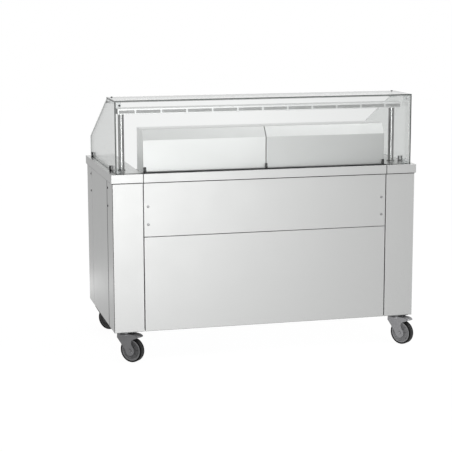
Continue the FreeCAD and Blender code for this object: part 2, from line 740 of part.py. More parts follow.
def make_castor_plates():
    plates = []
    for side in (LEFT, RIGHT):
        for end in (-1, 1):
            axis = castor_axis(side, end)
            plate = box(axis.x - CASTOR_PLATE_X / 2, axis.x + CASTOR_PLATE_X / 2,
                        axis.y - CASTOR_PLATE_Y / 2, axis.y + CASTOR_PLATE_Y / 2,
                        CASTOR_HEIGHT - CASTOR_PLATE, CASTOR_HEIGHT)
            race = rod(RACE_RADIUS, axis + Z_AXIS * z_race, Z_AXIS, RACE_HEIGHT)
            points = castor_bolt_points(side, end)
            plates.append(cut(join(plate, race), *[bolt_hole(p) for p in points]))
            nut_top = z_crown - RACE_GAP
            stem = rod(KINGPIN_RADIUS, axis + Z_AXIS * nut_top, Z_AXIS, z_race - nut_top)
            nut = rod(KINGPIN_NUT_RADIUS, axis + Z_AXIS * (nut_top - KINGPIN_NUT), Z_AXIS, KINGPIN_NUT)
            plates.append(join(stem, nut))
    save("castor_plates", *plates)


def make_bolt(point):
    z_seat = CASTOR_HEIGHT - CASTOR_PLATE
    z_nut = z_floor_top
    head = rod(BOLT_HEAD_RADIUS, point + Z_AXIS * (z_seat - BOLT_HEAD), Z_AXIS, BOLT_HEAD)
    shank = rod(BOLT_RADIUS, point + Z_AXIS * z_seat, Z_AXIS, z_nut + NUT_HEIGHT - z_seat)
    nut = rod(BOLT_HEAD_RADIUS, point + Z_AXIS * z_nut, Z_AXIS, NUT_HEIGHT)
    return join(head, shank, nut)


def make_fork(braked):
    """A pressed fork with its crown, two cheeks and, as its own solid, the axle bolt."""
    eye = axle_centre
    outline = [V(-CHEEK_BACK, 0, z_crown_top), V(CHEEK_FRONT, 0, z_crown_top),
               V(CHEEK_FRONT, 0, z_crown_top - CHEEK_FRONT_DROP), V(eye.x + EYE_RADIUS, 0, eye.z),
               V(eye.x - EYE_RADIUS, 0, eye.z), V(-CHEEK_BACK, 0, z_crown_top - CHEEK_BACK_DROP)]
    crown = rod(CROWN_RADIUS, V(0, 0, z_crown), Z_AXIS, CROWN_HEIGHT)
    pieces = [crown]
    for y in (cheek_inner, -cheek_outer):
        plate = prism([p + Y_AXIS * y for p in outline], Y_AXIS * CHEEK)
        pieces += [plate, rod(EYE_RADIUS, V(eye.x, y, eye.z), Y_AXIS, CHEEK)]
    fork = join(*pieces)
    wide = Y_AXIS * -cheek_outer
    fork = cut(fork, rod(KINGPIN_RADIUS + RUNNING_PLAY, V(0, 0, z_crown), Z_AXIS, CROWN_HEIGHT),
               rod(AXLE_RADIUS + RUNNING_PLAY, eye + wide, Y_AXIS, 2 * cheek_outer))
    if braked:
        fork = fork.cut(rod(PEDAL_PIN_RADIUS + RUNNING_PLAY, pedal_pivot + wide, Y_AXIS, 2 * cheek_outer))
    axle = join(rod(AXLE_RADIUS, eye + wide, Y_AXIS, 2 * cheek_outer),
                rod(AXLE_HEAD_RADIUS, eye - Y_AXIS * (cheek_outer + AXLE_HEAD), Y_AXIS, AXLE_HEAD),
                rod(AXLE_HEAD_RADIUS, eye + Y_AXIS * cheek_outer, Y_AXIS, AXLE_HEAD))
    return fork, axle


def wheel_point(radius, along):
    return V(axle_centre.x, along, axle_centre.z + radius)


def make_disc():
    """The wheel's disc: boss, web and rim, turned about the axle."""
    bore = AXLE_RADIUS + RUNNING_PLAY
    boss = cheek_inner - BOSS_GAP
    half = [(bore, boss), (BOSS_RADIUS, boss), (BOSS_RADIUS, WEB_WIDTH / 2),
            (RIM_RADIUS - RIM_LAND, WEB_WIDTH / 2), (RIM_RADIUS - RIM_LAND, RIM_WIDTH / 2),
            (RIM_RADIUS, RIM_WIDTH / 2)]
    outline = half + [(r, -a) for r, a in reversed(half)]
    points = [wheel_point(r, a) for r, a in outline]
    wire = Part.makePolygon(points + [points[0]])
    return Part.Face(wire).revolve(axle_centre, Y_AXIS, 360)


def make_tyre():
    """The tyre: a flat tread with round shoulders on a narrower bead."""
    half = TYRE_WIDTH / 2
    bead = TYRE_BEAD / 2
    flank = WHEEL_RADIUS - TYRE_SHOULDER
    swell = (RIM_RADIUS + flank) / 2
    bow = TYRE_SHOULDER * (1 - math.sqrt(0.5))
    edges = []
    for sign in (1, -1):
        corner = Part.Arc(wheel_point(flank, sign * half),
                          wheel_point(WHEEL_RADIUS - bow, sign * (half - bow)),
                          wheel_point(WHEEL_RADIUS, sign * (half - TYRE_SHOULDER)))
        edges.append(corner.toShape())
        edges.append(Part.makeLine(wheel_point(swell, sign * half), wheel_point(flank, sign * half)))
        edges.append(Part.makeLine(wheel_point(RIM_RADIUS, sign * bead), wheel_point(swell, sign * half)))
    tread = half - TYRE_SHOULDER
    edges.append(Part.makeLine(wheel_point(WHEEL_RADIUS, tread), wheel_point(WHEEL_RADIUS, -tread)))
    edges.append(Part.makeLine(wheel_point(RIM_RADIUS, bead), wheel_point(RIM_RADIUS, -bead)))
    wire = Part.Wire(Part.__sortEdges__(edges))
    return Part.Face(wire).revolve(axle_centre, Y_AXIS, 360)


def make_pedal():
    """A brake pedal: barrel on two pins, a shoe over the tyre and a wide toe plate."""
    pivot = pedal_pivot
    half = cheek_inner - PEDAL_SIDE_GAP
    top = pivot.z + PEDAL_BARREL_RADIUS - PEDAL_STEP
    shoe_start = pivot.x + SHOE_START
    rise = math.sqrt(WHEEL_RADIUS ** 2 - (shoe_start - axle_centre.x) ** 2)
    z_shoe = axle_centre.z + rise + SHOE_GAP
    arm = box(pivot.x, PEDAL_WIDE_FROM + PEDAL_SHEET, -half, half, top - PEDAL_SHEET, top)
    shoe = box(shoe_start, shoe_start + SHOE_LENGTH, -half, half, z_shoe, top)
    toe = prism([V(PEDAL_WIDE_FROM, -PEDAL_WIDE / 2, top - PEDAL_SHEET),
                 V(PEDAL_REACH, -PEDAL_WIDE / 2, top - PEDAL_SHEET - PEDAL_TIP_DROP),
                 V(PEDAL_REACH, -PEDAL_WIDE / 2, top - PEDAL_TIP_DROP),
                 V(PEDAL_WIDE_FROM, -PEDAL_WIDE / 2, top)], Y_AXIS * PEDAL_WIDE)
    tip_edges = [e for e in toe.Edges if abs(e.Vertexes[0].Point.x - PEDAL_REACH) < TOUCH
                 and abs(e.Vertexes[1].Point.x - PEDAL_REACH) < TOUCH
                 and abs(e.Vertexes[0].Point.y - e.Vertexes[1].Point.y) < TOUCH]
    toe = toe.makeFillet(PEDAL_WIDE / 4, tip_edges)
    barrel = rod(PEDAL_BARREL_RADIUS, pivot - Y_AXIS * half, Y_AXIS, 2 * half)
    pin_end = cheek_outer - PIN_END_GAP
    pin = rod(PEDAL_PIN_RADIUS, pivot - Y_AXIS * pin_end, Y_AXIS, 2 * pin_end)
    return join(barrel, arm, shoe, toe, pin)


def make_castors():
    corners = (("front_left", LEFT, -1, FRONT_LEFT_TURN), ("front_right", RIGHT, -1, FRONT_RIGHT_TURN),
               ("rear_left", LEFT, 1, REAR_LEFT_TURN), ("rear_right", RIGHT, 1, REAR_RIGHT_TURN))
    for name, side, end, turn in corners:
        braked = end < 0
        save(name + "_fork", *[place_castor(s, side, end, turn) for s in make_fork(braked)])
        save(name + "_wheel_disc", place_castor(make_disc(), side, end, turn))
        save(name + "_tyre", place_castor(make_tyre(), side, end, turn))
        if braked:
            save(name + "_brake_pedal", place_castor(make_pedal(), side, end, turn))


def pivot_point(side, z):
    return V(side * (bay_half - DOOR_GAP - PIVOT_INSET), half_d - PIVOT_SETBACK, z)


def door_pin_holes():
    """Holes in the floor and in the control strip's lower fold for the door pins."""
    return [rod(PIVOT_RADIUS, pivot_point(side, z), Z_AXIS, length)
            for side in (LEFT, RIGHT)
            for z, length in ((z_body, z_floor_top - z_body), (z_control, SHEET))]


def make_doors():
    """Two folded doors that turn on pins in the floor and under the control strip."""
    y_in = half_d - DOOR_DEPTH
    pins = []
    for name, side in (("left", LEFT), ("right", RIGHT)):
        x_hinge = side * (bay_half - DOOR_GAP)
        x_meet = side * DOOR_GAP / 2
        door = pan(min(x_hinge, x_meet), max(x_hinge, x_meet), half_d, -1, z_door, z_door_top, DOOR_DEPTH)
        blocks = [box(x_hinge, x_hinge - side * PIVOT_BLOCK, y_in, half_d, z, z + lift)
                  for z, lift in ((z_door, PIVOT_DEPTH + SHEET), (z_door_top, -PIVOT_DEPTH - SHEET))]
        door = join(door, *blocks)
        bores = [rod(PIVOT_RADIUS + RUNNING_PLAY, pivot_point(side, z), Z_AXIS, PIVOT_DEPTH)
                 for z in (z_door, z_door_top - PIVOT_DEPTH)]
        save(name + "_door", cut(door, *bores))
        low_length = z_door - z_body + PIVOT_DEPTH - PIN_END_GAP
        high_start = z_door_top - PIVOT_DEPTH + PIN_END_GAP
        pins.append(rod(PIVOT_RADIUS, pivot_point(side, z_body), Z_AXIS, low_length))
        pins.append(rod(PIVOT_RADIUS, pivot_point(side, high_start), Z_AXIS, z_control + SHEET - high_start))
        save(name + "_door_handle", make_handle(side * HANDLE_INSET))
    save("door_pins", *pins)


def make_handle(x):
    """A square bow handle: an upright grip on two feet."""
    z_mid = (z_door + z_door_top) / 2
    half = HANDLE_LENGTH / 2
    y_grip = half_d + HANDLE_REACH
    x0, x1 = x - HANDLE_BAR / 2, x + HANDLE_BAR / 2
    grip = box(x0, x1, y_grip - HANDLE_BAR, y_grip, z_mid - half, z_mid + half)
    outer = [e for e in grip.Edges if abs(e.CenterOfMass.y - y_grip) < TOUCH]
    grip = grip.makeFillet(HANDLE_BAR * HANDLE_ROUNDING, outer)
    feet = [box(x0, x1, half_d, y_grip - HANDLE_BAR / 2, z, z + math.copysign(HANDLE_BAR, z_mid - z))
            for z in (z_mid - half + HANDLE_BAR, z_mid + half - HANDLE_BAR)]
    return join(grip, *feet)


def gland_seat():
    return V(-(half_w + bay_half) / 2, half_d, z_body + GLAND_HEIGHT)


def rocker_opening(play):
    """The rocker's slot through its bezel and the strip."""
    half_length = ROCKER_LENGTH / 2 + play
    half_height = ROCKER_RADIUS + play
    return box(rocker_x - half_length, rocker_x + half_length, half_d - HEM, half_d + HEM,
               z_control_mid - half_height, z_control_mid + half_height)


def make_control_panel():
    """The strip above the doors, pierced for its switches and sockets."""
    strip = pan(-panel_half, panel_half, half_d, -1, z_control, z_flange + SHEET, HEM)
    holes = [rod(SPINDLE_RADIUS + SPINDLE_HOLE_PLAY, V(x, half_d - HEM, z_control_mid), Y_AXIS, HEM * 2)
             for x in (switch_x, fan_knob_x)]
    holes += [rod(SOCKET_CUP_RADIUS + LIP_GAP, V(x, half_d - HEM, z_control_mid), Y_AXIS, HEM * 2)
              for x in socket_places]
    holes.append(rocker_opening(ROCKER_PLAY + ROCKER_WALL + LIP_GAP))
    save("control_panel", cut(strip, *holes, *door_pin_holes()))


def make_bezels():
    """Black mouldings on the cook's side: knob plates, rocker frame and the cable gland."""
    half = BEZEL_SIDE / 2
    pieces = []
    for x in (switch_x, fan_knob_x):
        plate = box(x - half, x + half, half_d, half_d + BEZEL, z_control_mid - half, z_control_mid + half)
        bore = rod(SPINDLE_RADIUS + RUNNING_PLAY, V(x, half_d, z_control_mid), Y_AXIS, BEZEL)
        pieces.append(plate.cut(bore))
    frame = cut(rocker_opening(ROCKER_PLAY + ROCKER_WALL), rocker_opening(ROCKER_PLAY))
    band = box(-half_w, half_w, half_d - HEM + BEZEL, half_d + SHEET, z_control, z_flange)
    pins = rod(ROCKER_PIN_RADIUS + RUNNING_PLAY, V(rocker_x - BEZEL_SIDE, half_d - BEZEL, z_control_mid),
               X_AXIS, 2 * BEZEL_SIDE)
    pieces.append(frame.common(band).cut(pins))
    seat = gland_seat()
    pieces.append(join(rod(GLAND_RADIUS, seat, Y_AXIS, GLAND_REACH),
                       rod(GLAND_CAP_RADIUS, seat - Y_AXIS * HEM / 2, Y_AXIS,
                           HEM / 2 + GLAND_REACH + GLAND_CAP_REACH)))
    save("control_bezels", *pieces)


def lid_axis(x):
    return V(x, half_d + BEZEL + LID_LIFT + LID_BARREL_RADIUS,
             z_control_mid + BEZEL_SIDE / 2 - LID_BARREL_RADIUS)


def make_socket(x):
    """A flush socket with a round recess, two contact holes and ears for its lid."""
    half = BEZEL_SIDE / 2
    centre = V(x, half_d, z_control_mid)
    plate = box(x - half, x + half, half_d, half_d + BEZEL, z_control_mid - half, z_control_mid + half)
    cup = rod(SOCKET_CUP_RADIUS, centre - Y_AXIS * SOCKET_CUP_DEPTH, Y_AXIS, SOCKET_CUP_DEPTH)
    axis = lid_axis(x)
    ears = [box(x + side * half, x + side * (half - EAR_WIDTH), half_d + BEZEL, half_d + BEZEL + EAR_HEIGHT,
                axis.z - LID_BARREL_RADIUS, axis.z + LID_BARREL_RADIUS) for side in (LEFT, RIGHT)]
    recess = rod(SOCKET_RECESS_RADIUS, centre + Y_AXIS * (BEZEL - SOCKET_RECESS_DEPTH), Y_AXIS,
                 SOCKET_RECESS_DEPTH)
    contact_end = CONTACT_FLOOR - SOCKET_CUP_DEPTH
    contacts = [rod(CONTACT_RADIUS, centre + V(side * CONTACT_SPACING / 2, contact_end, 0), Y_AXIS,
                    SOCKET_CUP_DEPTH) for side in (LEFT, RIGHT)]
    pin = rod(LID_PIN_RADIUS + RUNNING_PLAY, axis - X_AXIS * half, X_AXIS, BEZEL_SIDE)
    return cut(join(plate, cup, *ears), recess, *contacts, pin)


def make_lid(x):
    """A sprung flap: plate and barrel with a pin that turns in the socket's ears."""
    axis = lid_axis(x)
    half = BEZEL_SIDE / 2
    barrel_half = half - EAR_WIDTH - LID_EAR_GAP
    y0 = half_d + BEZEL + LID_LIFT
    sweep = math.hypot(EAR_HEIGHT - LID_LIFT - LID_BARREL_RADIUS, LID_BARREL_RADIUS) + LID_EAR_GAP
    plate = box(x - half, x + half, y0, y0 + LID, z_control_mid - half, axis.z - sweep)
    neck = box(x - barrel_half, x + barrel_half, y0, y0 + LID, z_control_mid, axis.z)
    barrel = rod(LID_BARREL_RADIUS, axis - X_AXIS * barrel_half, X_AXIS, 2 * barrel_half)
    pin_half = half - PIN_END_GAP
    pin = rod(LID_PIN_RADIUS, axis - X_AXIS * pin_half, X_AXIS, 2 * pin_half)
    return join(plate, neck, barrel, pin)


def make_knob(x, radius):
    """A round knob with a raised grip, on a spindle through its plate."""
    base = V(x, half_d + BEZEL + KNOB_LIFT, z_control_mid)
    disc = rod(radius, base, Y_AXIS, KNOB_HEIGHT)
    grip = box(x - GRIP_WIDTH / 2, x + GRIP_WIDTH / 2, base.y, base.y + KNOB_HEIGHT + GRIP_HEIGHT,
               z_control_mid - radius, z_control_mid + radius)
    grip = grip.common(rod(radius, base, Y_AXIS, KNOB_HEIGHT + GRIP_HEIGHT))
    spindle = rod(SPINDLE_RADIUS, base - Y_AXIS * SPINDLE_LENGTH, Y_AXIS, SPINDLE_LENGTH)
    return join(disc, grip, spindle)


def make_rocker():
    """A rocker switch: a short barrel with a flat key face, tipped to its off side."""
    centre = V(rocker_x, half_d - BEZEL, z_control_mid)
    half = ROCKER_LENGTH / 2
    barrel = rod(ROCKER_RADIUS, centre - X_AXIS * half, X_AXIS, ROCKER_LENGTH)
    face = BEZEL + SHEET
    waste = box(rocker_x - ROCKER_LENGTH, rocker_x + ROCKER_LENGTH, centre.y + face,
                centre.y + ROCKER_RADIUS * 2, z_control_mid - ROCKER_RADIUS * 2,
                z_control_mid + ROCKER_RADIUS * 2)
    waste.rotate(centre, X_AXIS, ROCKER_TILT)
    pin = rod(ROCKER_PIN_RADIUS, centre - X_AXIS * (half + ROCKER_WALL), X_AXIS,
              ROCKER_LENGTH + 2 * ROCKER_WALL)
    return join(barrel.cut(waste), pin)


def make_controls():
    make_control_panel()
    make_bezels()
    save("main_switch_knob", make_knob(switch_x, SWITCH_KNOB_RADIUS))
    save("fan_speed_knob", make_knob(fan_knob_x, FAN_KNOB_RADIUS))
    save("light_rocker", make_rocker())
    save("power_sockets", *[make_socket(x) for x in socket_places])
    for name, x in zip(("left", "right"), socket_places):
        save(name + "_socket_lid", make_lid(x))


def make_fan():
    """The fan stands on the floor: motor, scroll with impeller, and the carbon filter on top."""
    base = V(FAN_X, FAN_Y, z_floor_top)
    z_scroll = z_floor_top + MOTOR_HEIGHT
    foot = box(FAN_X - MOTOR_FOOT / 2, FAN_X + MOTOR_FOOT / 2, FAN_Y - MOTOR_FOOT / 2,
               FAN_Y + MOTOR_FOOT / 2, z_floor_top, z_floor_top + MOTOR_FOOT_SHEET)
    shaft_top = z_scroll + IMPELLER_GAP + IMPELLER_HEIGHT / 2
    motor = join(foot, rod(MOTOR_RADIUS, base, Z_AXIS, MOTOR_HEIGHT),
                 rod(SHAFT_RADIUS, base, Z_AXIS, shaft_top - z_floor_top))
    save("fan_motor", motor)
    centre = V(FAN_X, FAN_Y, z_scroll)
    outer_r = SCROLL_RADIUS + SHEET
    z_spout = z_scroll + (SCROLL_HEIGHT - SPOUT_HEIGHT) / 2
    half = SPOUT_WIDTH / 2
    spout = box(FAN_X - half, FAN_X + half, FAN_Y, FAN_Y - outer_r - SPOUT_REACH, z_spout,
                z_spout + SPOUT_HEIGHT)
    throat = box(FAN_X - half + SHEET, FAN_X + half - SHEET, FAN_Y, FAN_Y - outer_r - SPOUT_REACH - SHEET,
                 z_spout + SHEET, z_spout + SPOUT_HEIGHT - SHEET)
    scroll = join(rod(outer_r, centre, Z_AXIS, SCROLL_HEIGHT), spout)
    scroll = cut(scroll, rod(SCROLL_RADIUS, centre + Z_AXIS * SHEET, Z_AXIS, SCROLL_HEIGHT - 2 * SHEET),
                 throat, rod(SCROLL_INLET_RADIUS, centre + Z_AXIS * SHEET, Z_AXIS, SCROLL_HEIGHT),
                 rod(IMPELLER_HUB_RADIUS, centre, Z_AXIS, SHEET))
    save("fan_scroll", scroll)
    save("fan_impeller", make_impeller(centre + Z_AXIS * IMPELLER_GAP))
    save("carbon_filter", make_carbon_filter(z_scroll + SCROLL_HEIGHT))


def make_carbon_filter(z0):
    """A sheet tray over the fan's inlet, open above, with upright carbon plates across it."""
    half = CARBON_SIDE / 2
    z1 = z0 + CARBON_HEIGHT
    inner = half - SHEET
    block = box(FAN_X - half, FAN_X + half, FAN_Y - half, FAN_Y + half, z0, z1)
    room = box(FAN_X - inner, FAN_X + inner, FAN_Y - inner, FAN_Y + inner, z0 + SHEET, z1 + SHEET)
    inlet = rod(SCROLL_INLET_RADIUS, V(FAN_X, FAN_Y, z0), Z_AXIS, SHEET)
    tray = cut(block, room, inlet)
    pitch = 2 * inner / (CARBON_PLATE_COUNT + 1)
    plates = []
    for i in range(CARBON_PLATE_COUNT):
        x = FAN_X - inner + (i + 1) * pitch
        plates.append(box(x - CARBON_PLATE / 2, x + CARBON_PLATE / 2, FAN_Y - half + SHEET / 2,
                          FAN_Y + half - SHEET / 2, z0 + CARBON_MARGIN, z1 - CARBON_MARGIN))
    return join(tray, *plates)


def make_impeller(base):
    """A drum of upright blades between a back plate and a ring, on a hub."""
    inner = IMPELLER_RADIUS - BLADE_LENGTH
    plate = rod(IMPELLER_RADIUS, base, Z_AXIS, IMPELLER_SHEET)
    hub = rod(IMPELLER_HUB_RADIUS, base, Z_AXIS, IMPELLER_HEIGHT / 2)
    z_ring = base + Z_AXIS * (IMPELLER_HEIGHT - IMPELLER_SHEET)
    ring = cut(rod(IMPELLER_RADIUS, z_ring, Z_AXIS, IMPELLER_SHEET),
               rod(inner, z_ring, Z_AXIS, IMPELLER_SHEET))
    blades = []
    for i in range(BLADE_COUNT):
        blade = box(base.x + inner, base.x + IMPELLER_RADIUS - IMPELLER_SHEET, base.y,
                    base.y + IMPELLER_SHEET / 2, base.z, base.z + IMPELLER_HEIGHT)
        blade.rotate(base, Z_AXIS, i * 360.0 / BLADE_COUNT)
        blades.append(blade)
    drum = join(plate, hub, ring, *blades)
    return drum.cut(rod(SHAFT_RADIUS + RUNNING_PLAY, base, Z_AXIS, IMPELLER_HEIGHT))


make_columns()
make_front_panels()
make_side_panels()
make_floor()
make_counters()
make_front_fascia()
make_bay()
make_hoods()
make_glass()
make_connectors()
make_fasteners()
make_posts_and_rail()
make_seals()
make_castor_plates()
make_castors()
make_doors()
make_controls()
make_fan()
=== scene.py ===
import json
from math import copysign, cos, hypot, pi, radians, sin, sqrt

import bmesh
import bpy
from mathutils import Matrix, Vector


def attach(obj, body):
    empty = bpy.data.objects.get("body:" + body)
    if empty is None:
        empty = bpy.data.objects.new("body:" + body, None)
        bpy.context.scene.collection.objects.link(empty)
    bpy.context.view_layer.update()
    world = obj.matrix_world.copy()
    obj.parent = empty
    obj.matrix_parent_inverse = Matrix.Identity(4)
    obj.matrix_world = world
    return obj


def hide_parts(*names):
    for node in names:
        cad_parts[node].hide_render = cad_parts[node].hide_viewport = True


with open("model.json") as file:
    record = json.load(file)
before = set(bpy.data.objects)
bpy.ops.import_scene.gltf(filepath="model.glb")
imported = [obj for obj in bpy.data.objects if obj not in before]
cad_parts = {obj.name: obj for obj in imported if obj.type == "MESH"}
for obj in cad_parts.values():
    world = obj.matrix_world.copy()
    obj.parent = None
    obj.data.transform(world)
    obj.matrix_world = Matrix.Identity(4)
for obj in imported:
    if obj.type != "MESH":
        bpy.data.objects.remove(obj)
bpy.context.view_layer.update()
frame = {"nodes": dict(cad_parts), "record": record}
scene = bpy.context.scene


# Floor panel: a 3 mm stainless plate, slotted for the outgoing air and turned down at the rear.
# It lies on the feet of the columns and is bolted through with the castor plates.
def math_step(operation, reflected=False):
    """A method for a wire that adds one Math node; reflected, the other value comes first."""
    def step(wire, other):
        first, second = (other, wire) if reflected else (wire, other)
        return wire.graph.add("ShaderNodeMath", {0: first, 1: second}, operation=operation)
    return step


class Wire:
    """An output socket of a node tree; arithmetic on it adds Math nodes."""

    def __init__(self, graph, socket):
        self.graph = graph
        self.socket = socket

    __add__, __radd__ = math_step("ADD"), math_step("ADD", True)
    __sub__, __rsub__ = math_step("SUBTRACT"), math_step("SUBTRACT", True)
    __mul__, __rmul__ = math_step("MULTIPLY"), math_step("MULTIPLY", True)
    __truediv__, __rtruediv__ = math_step("DIVIDE"), math_step("DIVIDE", True)
    __pow__, __rpow__ = math_step("POWER"), math_step("POWER", True)
    most, least = math_step("MAXIMUM"), math_step("MINIMUM")


class Graph:
    """A node tree that grows by one call per node."""

    def __init__(self, tree):
        self.tree = tree
        self.tree.nodes.clear()

    def add(self, kind, inputs=None, output=0, **settings):
        node = self.tree.nodes.new(kind)
        for key, value in settings.items():
            setattr(node, key, value)
        for key, value in (inputs or {}).items():
            for part in value if isinstance(value, list) else [value]:
                if isinstance(part, Wire):
                    self.tree.links.new(part.socket, node.inputs[key])
                else:
                    node.inputs[key].default_value = part
        return Wire(self, node.outputs[output]) if node.outputs else None


class Finish(Graph):
    """A surface finish: a material whose patterns lie in the piece's own metres."""

    def __init__(self, name):
        self.material = bpy.data.materials.new(name)
        self.material.use_nodes = True
        super().__init__(self.material.node_tree)
        self.place = self.add("ShaderNodeTexCoord", output="Object")

    def noise(self, scale, detail=2.0, place=None):
        return self.add("ShaderNodeTexNoise",
                        {"Vector": place or self.place, "Scale": scale, "Detail": detail})

    def cells(self, scale, output="Distance"):
        return self.add("ShaderNodeTexVoronoi", {"Vector": self.place, "Scale": scale}, output)

    def shade(self, dark, light, mask):
        return self.add("ShaderNodeMix", {0: mask, 6: (*dark, 1.0), 7: (*light, 1.0)}, 2,
                        data_type="RGBA")

    def mottled(self, tone, low, high, mask):
        """The tone times low where the mask is 0, and times high where it is 1."""
        return self.shade([part * low for part in tone], [part * high for part in tone], mask)

    def bump(self, height, strength, depth):
        return self.add("ShaderNodeBump",
                        {"Height": height, "Strength": strength, "Distance": depth})

    def principled(self, **sockets):
        named = {key.replace("_", " ").title().replace("Ior", "IOR"): value
                 for key, value in sockets.items()}
        return self.surface(self.add("ShaderNodeBsdfPrincipled", named))

    def surface(self, shader):
        self.add("ShaderNodeOutputMaterial", {"Surface": shader})
        return self.material


SCRATCH_ACROSS = 700.0
SCRATCH_ALONG = 9.0


def brushed_steel(name, tone, along="x", rough=0.47, edge=0.88):
    """Stainless sheet ground in one direction: fine long scratches, faint clouds, dull smears."""
    finish = Finish(name)
    grain = [SCRATCH_ACROSS] * 3
    grain["xyz".index(along)] = SCRATCH_ALONG
    ground = finish.add("ShaderNodeMapping", {"Vector": finish.place, "Scale": tuple(grain)})
    scratch = finish.noise(1.0, 3.0, ground)
    cloud = finish.noise(2.3, 3.0)
    smear = finish.noise(9.0, 4.0)
    return finish.principled(
        base_color=finish.mottled(tone, 0.95, 1.05, scratch * 0.7 + cloud * 0.3), metallic=1.0,
        roughness=rough + (scratch - 0.5) * 0.12 + (smear - 0.5) * 0.06,
        specular_tint=(edge, edge, edge, 1.0), normal=finish.bump(scratch, 0.05, 0.0002))


MERGE = 1e-5
NARROW_FACE = 0.006
FOLD_LENGTH = 0.03
RIM_LENGTH = 0.008
FLAT_ANGLE = radians(1)
SMOOTH_ANGLE = radians(33)
CORNER_ANGLE = radians(50)
SLOT_OF = {part["node"]: part["material_slot"] for part in frame["record"]["subparts"]}


def shape_of(mesh):
    shape = bmesh.new()
    shape.from_mesh(mesh)
    return shape


def merged_copy(node):
    """The node's mesh with its loose triangles joined and its flats made whole."""
    shape = shape_of(frame["nodes"][node].data)
    bmesh.ops.remove_doubles(shape, verts=shape.verts[:], dist=MERGE)
    bmesh.ops.dissolve_limit(shape, angle_limit=FLAT_ANGLE, verts=shape.verts[:],
                             edges=shape.edges[:])
    return shape


def wide_face(face):
    longest = max(edge.calc_length() for edge in face.edges)
    return face.calc_area() / longest > NARROW_FACE


def sharp_edges(shape, shortest):
    return [edge for edge in shape.edges
            if edge.is_manifold and edge.is_convex and edge.calc_face_angle() > CORNER_ANGLE
            and edge.calc_length() > shortest]


def round_edges(shape, edges, radius, steps):
    if edges:
        bmesh.ops.bevel(shape, geom=edges, offset=radius, offset_type="OFFSET", segments=steps,
                        profile=0.5, affect="EDGES", clamp_overlap=True)


def placed(name, data):
    """A new object in the scene, which holds a mesh, a lamp or the camera."""
    holder = bpy.data.objects.new(name, data)
    scene.collection.objects.link(holder)
    return holder


def new_piece(name, shape, materials, slot, *nodes, body="cabinet"):
    """Makes the shape a piece on its body, in the place of the CAD nodes that it stands for."""
    mesh = bpy.data.meshes.new(name)
    shape.to_mesh(mesh)
    shape.free()
    for material in materials:
        mesh.materials.append(material)
    if "custom_normal" in mesh.attributes:
        mesh.attributes.remove(mesh.attributes["custom_normal"])
    for polygon in mesh.polygons:
        polygon.use_smooth = True
    mesh.set_sharp_from_angle(angle=SMOOTH_ANGLE)
    piece = placed(name, mesh)
    weighted = piece.modifiers.new("weighted", "WEIGHTED_NORMAL")
    weighted.keep_sharp = True
    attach(piece, body)
    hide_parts(*nodes)
    return piece


def eased(node, material, fold=0.002, rim=0.0005, body="cabinet"):
    """The node as it leaves the shop: rounded folds between its wide faces and eased rims."""
    shape = merged_copy(node)
    folds = [edge for edge in sharp_edges(shape, FOLD_LENGTH)
             if all(wide_face(face) for face in edge.link_faces)]
    round_edges(shape, folds, fold, 3)
    round_edges(shape, sharp_edges(shape, RIM_LENGTH), rim, 1)
    return new_piece(node + "_eased", shape, [material], SLOT_OF[node], node, body=body)


bay_steel = brushed_steel("bay_steel", (0.50, 0.505, 0.51), "x", 0.42, 0.7)
eased("floor_panel", bay_steel)


# Corner columns: folded stainless sheet with stiffened edges and a foot plate for the castor.
# The grain runs upright on both faces, and the folds are rounded by the press brake.
# The front ones carry painted shade in a narrow band at the left corner and along the foot.
STEEL_TONE = (0.408, 0.411, 0.408)
BODY_X = 0.795
CORNER_LINE = -0.7922
FOOT_LINE = 0.1616
FRONT_FACING = -0.2
SIDES = ("left", "right")
RIGHT, REAR, UP, FRONT = (1, 0, 0), (0, 1, 0), (0, 0, 1), (0, -1, 0)
column_steel = brushed_steel("column_steel", STEEL_TONE, "z")
# Painted shade for the bands where the front sheets turn away.
fold_steel = brushed_steel("fold_steel", (0.06,) * 3, "z", edge=0.3)


def repaint(piece, material, chosen):
    """Gives another finish to the faces that are chosen by their middle and normal."""
    piece.data.materials.append(material)
    for polygon in piece.data.polygons:
        if chosen(polygon.center, polygon.normal):
            polygon.material_index = len(piece.data.materials) - 1


def scored(piece, point, across):
    """Cuts a line round the piece, so that the band beyond it can have another finish."""
    shape = shape_of(piece.data)
    bmesh.ops.bisect_plane(shape, geom=shape.verts[:] + shape.edges[:] + shape.faces[:],
                           plane_co=point, plane_no=across)
    shape.to_mesh(piece.data)
    shape.free()


def shade_folds(sheet):
    """Paints shade on the bands of a front sheet where it turns away at the left corner and the
    foot.
    """
    scored(sheet, (CORNER_LINE, 0, 0), RIGHT)
    scored(sheet, (0, 0, FOOT_LINE), UP)
    repaint(sheet, fold_steel, lambda middle, normal: normal.y < FRONT_FACING
            and (middle.x < CORNER_LINE or middle.z < FOOT_LINE))


for side in SIDES:
    shade_folds(eased(f"front_{side}_column", column_steel))
for side in SIDES:
    eased(f"rear_{side}_column", column_steel)


# Side panels: flat stainless sheet between the columns, hemmed all round and held by tongues.
# Their grain is upright like that of the columns beside them.
for side in SIDES:
    eased(f"{side}_side_panel", column_steel)


# Front panels: an upper and a lower pan of stainless sheet with a narrow seam between them.
# They are ground along their length and screwed to the landings of the front columns.
panel_steel = brushed_steel("panel_steel", STEEL_TONE)
# Their foot bands carry painted shade, as on the front columns.
for level in ("upper", "lower"):
    shade_folds(eased(f"front_{level}_panel", panel_steel))


